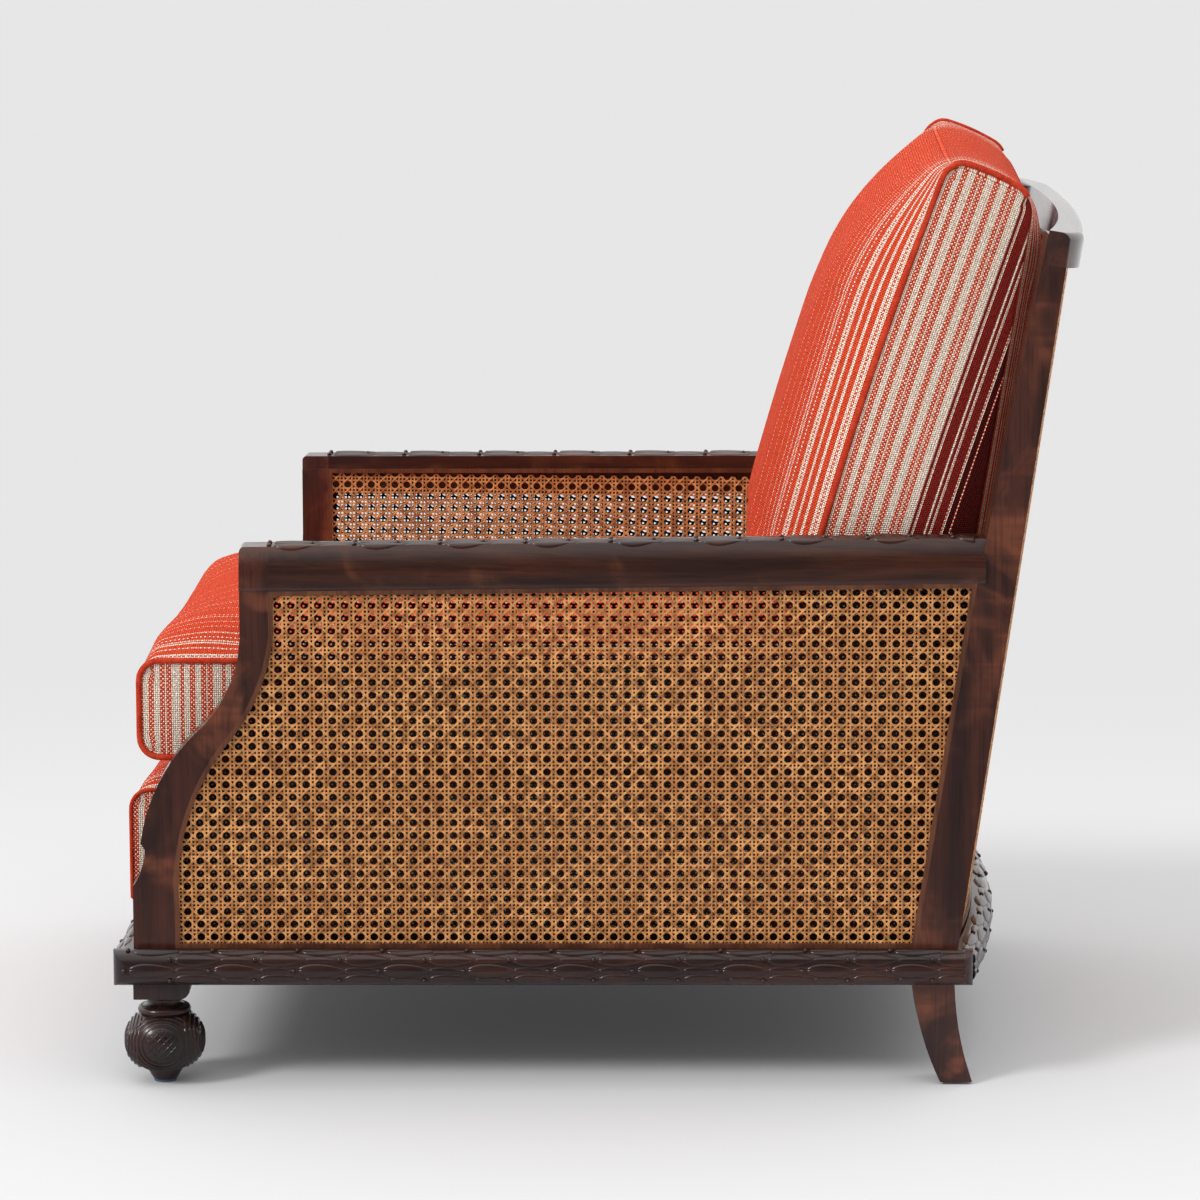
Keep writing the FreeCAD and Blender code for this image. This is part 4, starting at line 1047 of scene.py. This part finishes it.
def back_form(unit):
    run, level = rounded_profile(unit.y, unit.z, BACK_CLIMB / 2, BACK_DEPTH / 2, BACK_CORNER)
    share, ahead = run / BACK_CLIMB + 0.5, level / BACK_DEPTH + 0.5
    low = BACK_REAR_LOW.lerp(BACK_FRONT_LOW, ahead)
    rise = BACK_REAR_HIGH.lerp(BACK_FRONT_HIGH, ahead) - low
    outward = Vector((0, -rise.z, rise.y)).normalized()
    place = low + rise * share + Vector((unit.x * 2 * BACK_HALF, 0, 0))
    place += outward * (BACK_BOW * math.sin(math.pi * share) * ahead)
    side = from_seam(unit, BACK_HALF)
    foot, head = max(share, 0) * BACK_CLIMB, max(1 - share, 0) * BACK_CLIMB
    if unit.z > BLOCK_EDGE:
        lift = crown_rise(side, BACK_CROWN_REACH) * crown_rise(head, BACK_HEAD_REACH)
        place += outward * BACK_CROWN * lift * crown_rise(foot + BACK_FOOT_LEAD, BACK_FOOT_REACH)
    elif unit.z < -BLOCK_EDGE:
        lift = crown_rise(side, BACK_REAR_CROWN_REACH) * crown_rise(head, BACK_REAR_END_REACH)
        place -= outward * BACK_REAR_CROWN * lift * crown_rise(foot, BACK_REAR_END_REACH)
    elif unit.y > BLOCK_EDGE:
        place += rise.normalized() * (BACK_TOP_BULGE * belly(unit.z))
    place.x = draw_in(unit, place.x)
    place.z += FAR_LIFT * share * share * (0.5 - unit.x)
    return place + Vector((0, -MIDDLE_ALONG, 0))


def back_flat(region, unit):
    if region == 0:
        return from_seam(unit, BACK_HALF), unit.y * BACK_CLIMB + unit.z * BACK_DEPTH
    low = (BACK_REAR_LOW - BACK_FRONT_LOW).length
    high = (BACK_REAR_HIGH - BACK_FRONT_HIGH).length
    return (low + (high - low) * (unit.y + 0.5)) * (0.5 - unit.z), unit.y * BACK_CLIMB


def make_soft_goods():
    seat_cloths = CLOTH_SEAT_CROWN, CLOTH_SEAT_BOXING
    make_cushion("seat_deck", (52, 64, 20), deck_form, deck_flat, seat_cloths,
                 "frame", limit=5 * MM, pressure=2.0, welt=DECK_WELT_RADIUS)
    make_cushion("seat_cushion", (60, 76, 16), seat_form, seat_flat, seat_cloths,
                 "seat_cushion", limit=6 * MM, pressure=3.0, welt=WELT_RADIUS)
    make_cushion("back_cushion", (60, 56, 18), back_form, back_flat, (CLOTH_BACK_CROWN, CLOTH_BACK_BOXING),
                 "back_cushion", limit=6 * MM, pressure=3.0, welt=WELT_RADIUS,
                 seam_shown=lambda place: place.z > BACK_WELT_END)


# Carving: laurel leaves, each with a berry at its foot, in rows that run along the mouldings

LEAF_PITCH = 89.3 * MM
LEAF_LENGTH = 53 * MM
LEAF_WIDTH = 17 * MM
LEAF_RELIEF = 2.0 * MM
HUSK_LENGTH = 40 * MM
HUSK_WIDTH = 9 * MM
HUSK_RELIEF = 1.4 * MM
HUSK_PLACE = (0, 49 * MM, -0.3 * MM)
BERRY_RADIUS = 2.6 * MM
BERRY_PLACE = (0, -3.12 * MM, 0.91 * MM)
SUNK = 0.8 * MM
LEAST_LEAF = 12 * MM

# A leaf's own form, in shares of its length, half width and relief
WIDEST = 0.72
FULLNESS = 0.75
STEM = 0.1
EDGE_SWELL = 0.45
RIB_RISE = 0.28
RIB_SHARPNESS = 5
FLUTE_DEPTH = 0.16
FLUTE_WAVES = 11
FLUTE_END = 0.75
NICK_DEPTH = 0.22
NICK_PLACE = 0.62
NICK_SHARPNESS = 6


def carved_leaf(length, width, relief, flutes):
    """A leaf along +Y from its foot: pointed, with a midrib, and fluted near the foot; z is relief."""
    shape = bmesh.new()
    bmesh.ops.create_grid(shape, x_segments=12, y_segments=16, size=0.5)
    rim = {vert for edge in shape.edges if edge.is_boundary for vert in edge.verts}
    for vert in shape.verts:
        across, run = vert.co.x * 2, vert.co.y + 0.5
        outline = math.sin(math.pi * run ** WIDEST) ** FULLNESS if 0 < run < 1 else 0
        half = width / 2 * max(outline, STEM)
        swell = EDGE_SWELL + (1 - EDGE_SWELL) * math.sin(math.pi * run ** 0.8)
        swell *= (1 - across * across) ** 0.5
        rib = RIB_RISE * math.exp(-(across * RIB_SHARPNESS) ** 2) * (1 - run * 0.4)
        flute = flutes * math.cos(across * FLUTE_WAVES) * max(0, 1 - run / FLUTE_END) * FLUTE_DEPTH
        nick = NICK_DEPTH * math.exp(-((abs(across) - NICK_PLACE) * NICK_SHARPNESS) ** 2) * run
        height = -SUNK if vert in rim else relief * (swell + rib + flute - nick)
        vert.co = Vector((across * half, run * length, height))
    made = bmesh.ops.extrude_face_region(shape, geom=shape.faces[:])
    bmesh.ops.translate(shape, vec=(0, 0, -SUNK), verts=verts_in(made))
    bmesh.ops.recalc_face_normals(shape, faces=shape.faces)
    set_smooth(shape)
    return shape


def carved_berry():
    shape = bmesh.new()
    bmesh.ops.create_uvsphere(shape, u_segments=12, v_segments=8, radius=BERRY_RADIUS)
    bmesh.ops.translate(shape, vec=BERRY_PLACE, verts=shape.verts)
    set_smooth(shape)
    return shape


def leaf_and_berry():
    husk = carved_leaf(HUSK_LENGTH, HUSK_WIDTH, HUSK_RELIEF, 0)
    bmesh.ops.translate(husk, vec=HUSK_PLACE, verts=husk.verts)
    return gather([carved_leaf(LEAF_LENGTH, LEAF_WIDTH, LEAF_RELIEF, 1), husk, carved_berry()])


def garland(rows, start, end, surface):
    """Rows of leaves from start to end. surface puts (across, along, relief) on the wood.

    A row is its place across the moulding and the share of a pitch by which it is set back."""
    unit = leaf_and_berry()
    parts = []
    for across, phase in rows:
        place = start + phase * LEAF_PITCH
        while place < end - LEAST_LEAF:
            leaf = unit.copy()
            bmesh.ops.translate(leaf, vec=(across, place, 0), verts=leaf.verts)
            whole_leaf = leaf.verts[:] + leaf.edges[:] + leaf.faces[:]
            cut = bmesh.ops.bisect_plane(leaf, geom=whole_leaf, dist=1e-6, plane_co=(0, end, 0),
                                         plane_no=(0, 1, 0), clear_outer=True)
            edges = [item for item in cut["geom_cut"] if isinstance(item, bmesh.types.BMEdge)]
            if edges:
                bmesh.ops.holes_fill(leaf, edges=edges, sides=0)
            for vert in leaf.verts:
                vert.co = surface(*vert.co)
            parts.append(leaf)
            place += LEAF_PITCH
    unit.free()
    whole = gather(parts)
    bmesh.ops.recalc_face_normals(whole, faces=whole.faces)
    return whole


MOULDING_WIDTH = 21 * MM
MOULDING_ROUND = 15 * MM
MOULDING_FLAT = (RAIL_TOP - RAIL_BOTTOM) / 2 - MOULDING_ROUND
MOULDING_MIDDLE = (RAIL_TOP + RAIL_BOTTOM) / 2
MOULDING_ROWS = ((23 * MM, 0.04), (11.5 * MM, 0.54), (-0.5 * MM, 0.0), (-11.5 * MM, 0.54))
SIDE_CARVING = (-5.5 * MM, 878 * MM)
FRONT_HALF = 366 * MM
REAR_LINE = 868 * MM
REAR_BOW = 30 * MM
REAR_PAST_END = 2 * MM


def torus_point(around, relief):
    """Outward and up on a moulding's section, by the distance round it from its middle line."""
    over = max(abs(around) - MOULDING_FLAT, 0)
    turn = min(over / MOULDING_ROUND, math.pi / 2)
    past = over - turn * MOULDING_ROUND
    reach = MOULDING_ROUND + relief
    outward = MOULDING_WIDTH - MOULDING_ROUND + reach * math.cos(turn) - past
    up = min(abs(around), MOULDING_FLAT) + reach * math.sin(turn)
    return outward, MOULDING_MIDDLE + math.copysign(up, around)


def carve_side_mouldings():
    def surface(across, along, relief):
        outward, up = torus_point(across, relief)
        return Vector((POST_HALF + outward, along, up))
    both_sides("moulding_leaves", garland(MOULDING_ROWS, *SIDE_CARVING, surface), WOOD_CARVED)


def both_halves(name, half):
    """A run of carving from the chair's middle, and its mirror, as one piece."""
    whole = gather([half, mirrored_copy(half)])
    bmesh.ops.transform(whole, matrix=MIDDLE_PLACE, verts=whole.verts)
    make_piece(name, whole, WOOD_CARVED_ACROSS)


def carve_front_moulding():
    def surface(across, along, relief):
        outward, up = torus_point(across, relief)
        return Vector((along, -outward, up))
    both_halves("front_moulding_leaves", garland(MOULDING_ROWS, 0, FRONT_HALF, surface))


def carve_rear_moulding():
    half_span = inner_half(REAR_LINE) + POST_HALF
    radius = (half_span ** 2 + REAR_BOW ** 2) / (2 * REAR_BOW)

    def surface(across, along, relief):
        outward, up = torus_point(across, relief)
        turn = along / radius
        reach = radius + outward
        return Vector((reach * math.sin(turn), REAR_LINE + REAR_BOW - radius + reach * math.cos(turn), up))
    both_halves("rear_moulding_leaves", garland(MOULDING_ROWS, 0, half_span + REAR_PAST_END, surface))


ARM_START = 150 * MM
ARM_END = 884 * MM
ARM_ROWS = ((-9.5 * MM, 0.0), (-0.5 * MM, 0.5), (8.5 * MM, 0.0))


def carve_arms():
    tree = BVHTree.FromObject(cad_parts["left_arm_rail"], bpy.context.evaluated_depsgraph_get())
    back = LEFT_PLACE.inverted()

    def surface(across, along, relief):
        inside = min(max(along, ARM_START), ARM_END)
        above = LEFT_PLACE @ Vector((across, inside, RAY_START))
        hit, normal, _, _ = tree.ray_cast(above, Vector((0, 0, -1)))
        if hit is None:
            hit, normal, _, _ = tree.find_nearest(LEFT_PLACE @ Vector((across, inside, ARM_TOP)))
        place = back @ (hit + normal * relief)
        return Vector((place.x, along, place.z))
    both_sides("arm_leaves", garland(ARM_ROWS, ARM_START, ARM_END, surface), WOOD_ARM)


FOOT_PLACE = Vector((0, 29.5 * MM, 44 * MM))
MEDALLION_TILT = Vector((1, 0, 0.07)).normalized()
MEDALLION_RADIUS = 18 * MM
BALL_REACH = 42 * MM
RING_ANGLES = (30, 37.5, 45, 52.5)
RING_HALF_ANGLE = 3.1
RING_RELIEF = 2.4 * MM
RING_SINK = 0.9 * MM
RING_LAP = 0.6 * MM
HATCH_STEP = 6.2 * MM
HATCH_HALF_WIDTH = 1.3 * MM
HATCH_RELIEF = 1.5 * MM
HATCH_SINK = 0.4 * MM
POLE_SINE = 0.72
POLE_MARGIN = 0.04
POLE_FADE = 60 * MM
RIBBON_THICK = 1.2 * MM


def carved_ribbon(long_count, wide_count, place):
    """A ribbon with sunk edges; place puts (run 0 to 1, across -1 to 1, relief) on the ball."""
    shape = bmesh.new()
    bmesh.ops.create_grid(shape, x_segments=long_count, y_segments=wide_count, size=0.5)
    for vert in shape.verts:
        run, across = vert.co.x + 0.5, vert.co.y * 2
        vert.co = place(run, across, 1 - across * across)
    bmesh.ops.remove_doubles(shape, verts=shape.verts, dist=0.02 * MM)
    made = bmesh.ops.extrude_face_region(shape, geom=shape.faces[:])
    for vert in verts_in(made):
        vert.co += (FOOT_PLACE - vert.co).normalized() * RIBBON_THICK
    bmesh.ops.recalc_face_normals(shape, faces=shape.faces)
    set_smooth(shape)
    return shape


def carve_feet():
    """Ball feet: four hatched medallions, each in rings of ribbon that lap over their neighbours'."""
    tree = BVHTree.FromObject(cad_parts["left_front_foot"], bpy.context.evaluated_depsgraph_get())
    back = LEFT_PLACE.inverted()
    centre = LEFT_PLACE @ FOOT_PLACE
    turn = LEFT_PLACE.to_3x3()

    def on_ball(direction, relief):
        hit, _, _, _ = tree.ray_cast(centre, (turn @ direction).normalized())
        return back @ (hit + (hit - centre).normalized() * relief)

    parts = []
    for quarter in range(4):
        axis = Matrix.Rotation(quarter * math.pi / 2, 3, "Z") @ MEDALLION_TILT
        level = Vector((0, 0, 1)).cross(axis).normalized()
        rise = axis.cross(level)
        for angle in RING_ANGLES:
            def ring(run, across, relief):
                lean = math.radians(angle + across * RING_HALF_ANGLE)
                spin = run * math.tau
                sideways = level * math.cos(spin) + rise * math.sin(spin)
                direction = axis * math.cos(lean) + sideways * math.sin(lean)
                lap = RING_LAP * math.sin(spin * 2 + quarter * math.pi)
                polar = max(0, abs(direction.z) - POLE_SINE) * POLE_FADE
                highest = POLE_SINE + POLE_MARGIN
                direction.z = min(max(direction.z, -highest), highest)
                return on_ball(direction, relief * RING_RELIEF - RING_SINK + lap - polar)
            parts.append(carved_ribbon(56, 4, ring))
        for tilt in (1, -1):
            for line in range(-2, 3):
                offset = line * HATCH_STEP
                half = math.sqrt(MEDALLION_RADIUS ** 2 - offset ** 2)

                def hatch(run, across, relief):
                    along, side = (run * 2 - 1) * half, offset + across * HATCH_HALF_WIDTH
                    spread = (along - side * tilt) * math.sqrt(0.5), (along * tilt + side) * math.sqrt(0.5)
                    direction = axis * BALL_REACH + level * spread[0] + rise * spread[1]
                    return on_ball(direction, relief * HATCH_RELIEF - HATCH_SINK)
                parts.append(carved_ribbon(10, 2, hatch))
    both_sides("foot_carving", gather(parts), WOOD_FOOT)


make_camera()
make_floor()
make_studio()
finish_cad_nodes()
weave_side_panels()
weave_back_panels()
carve_side_mouldings()
carve_front_moulding()
carve_rear_moulding()
carve_arms()
carve_feet()
make_soft_goods()
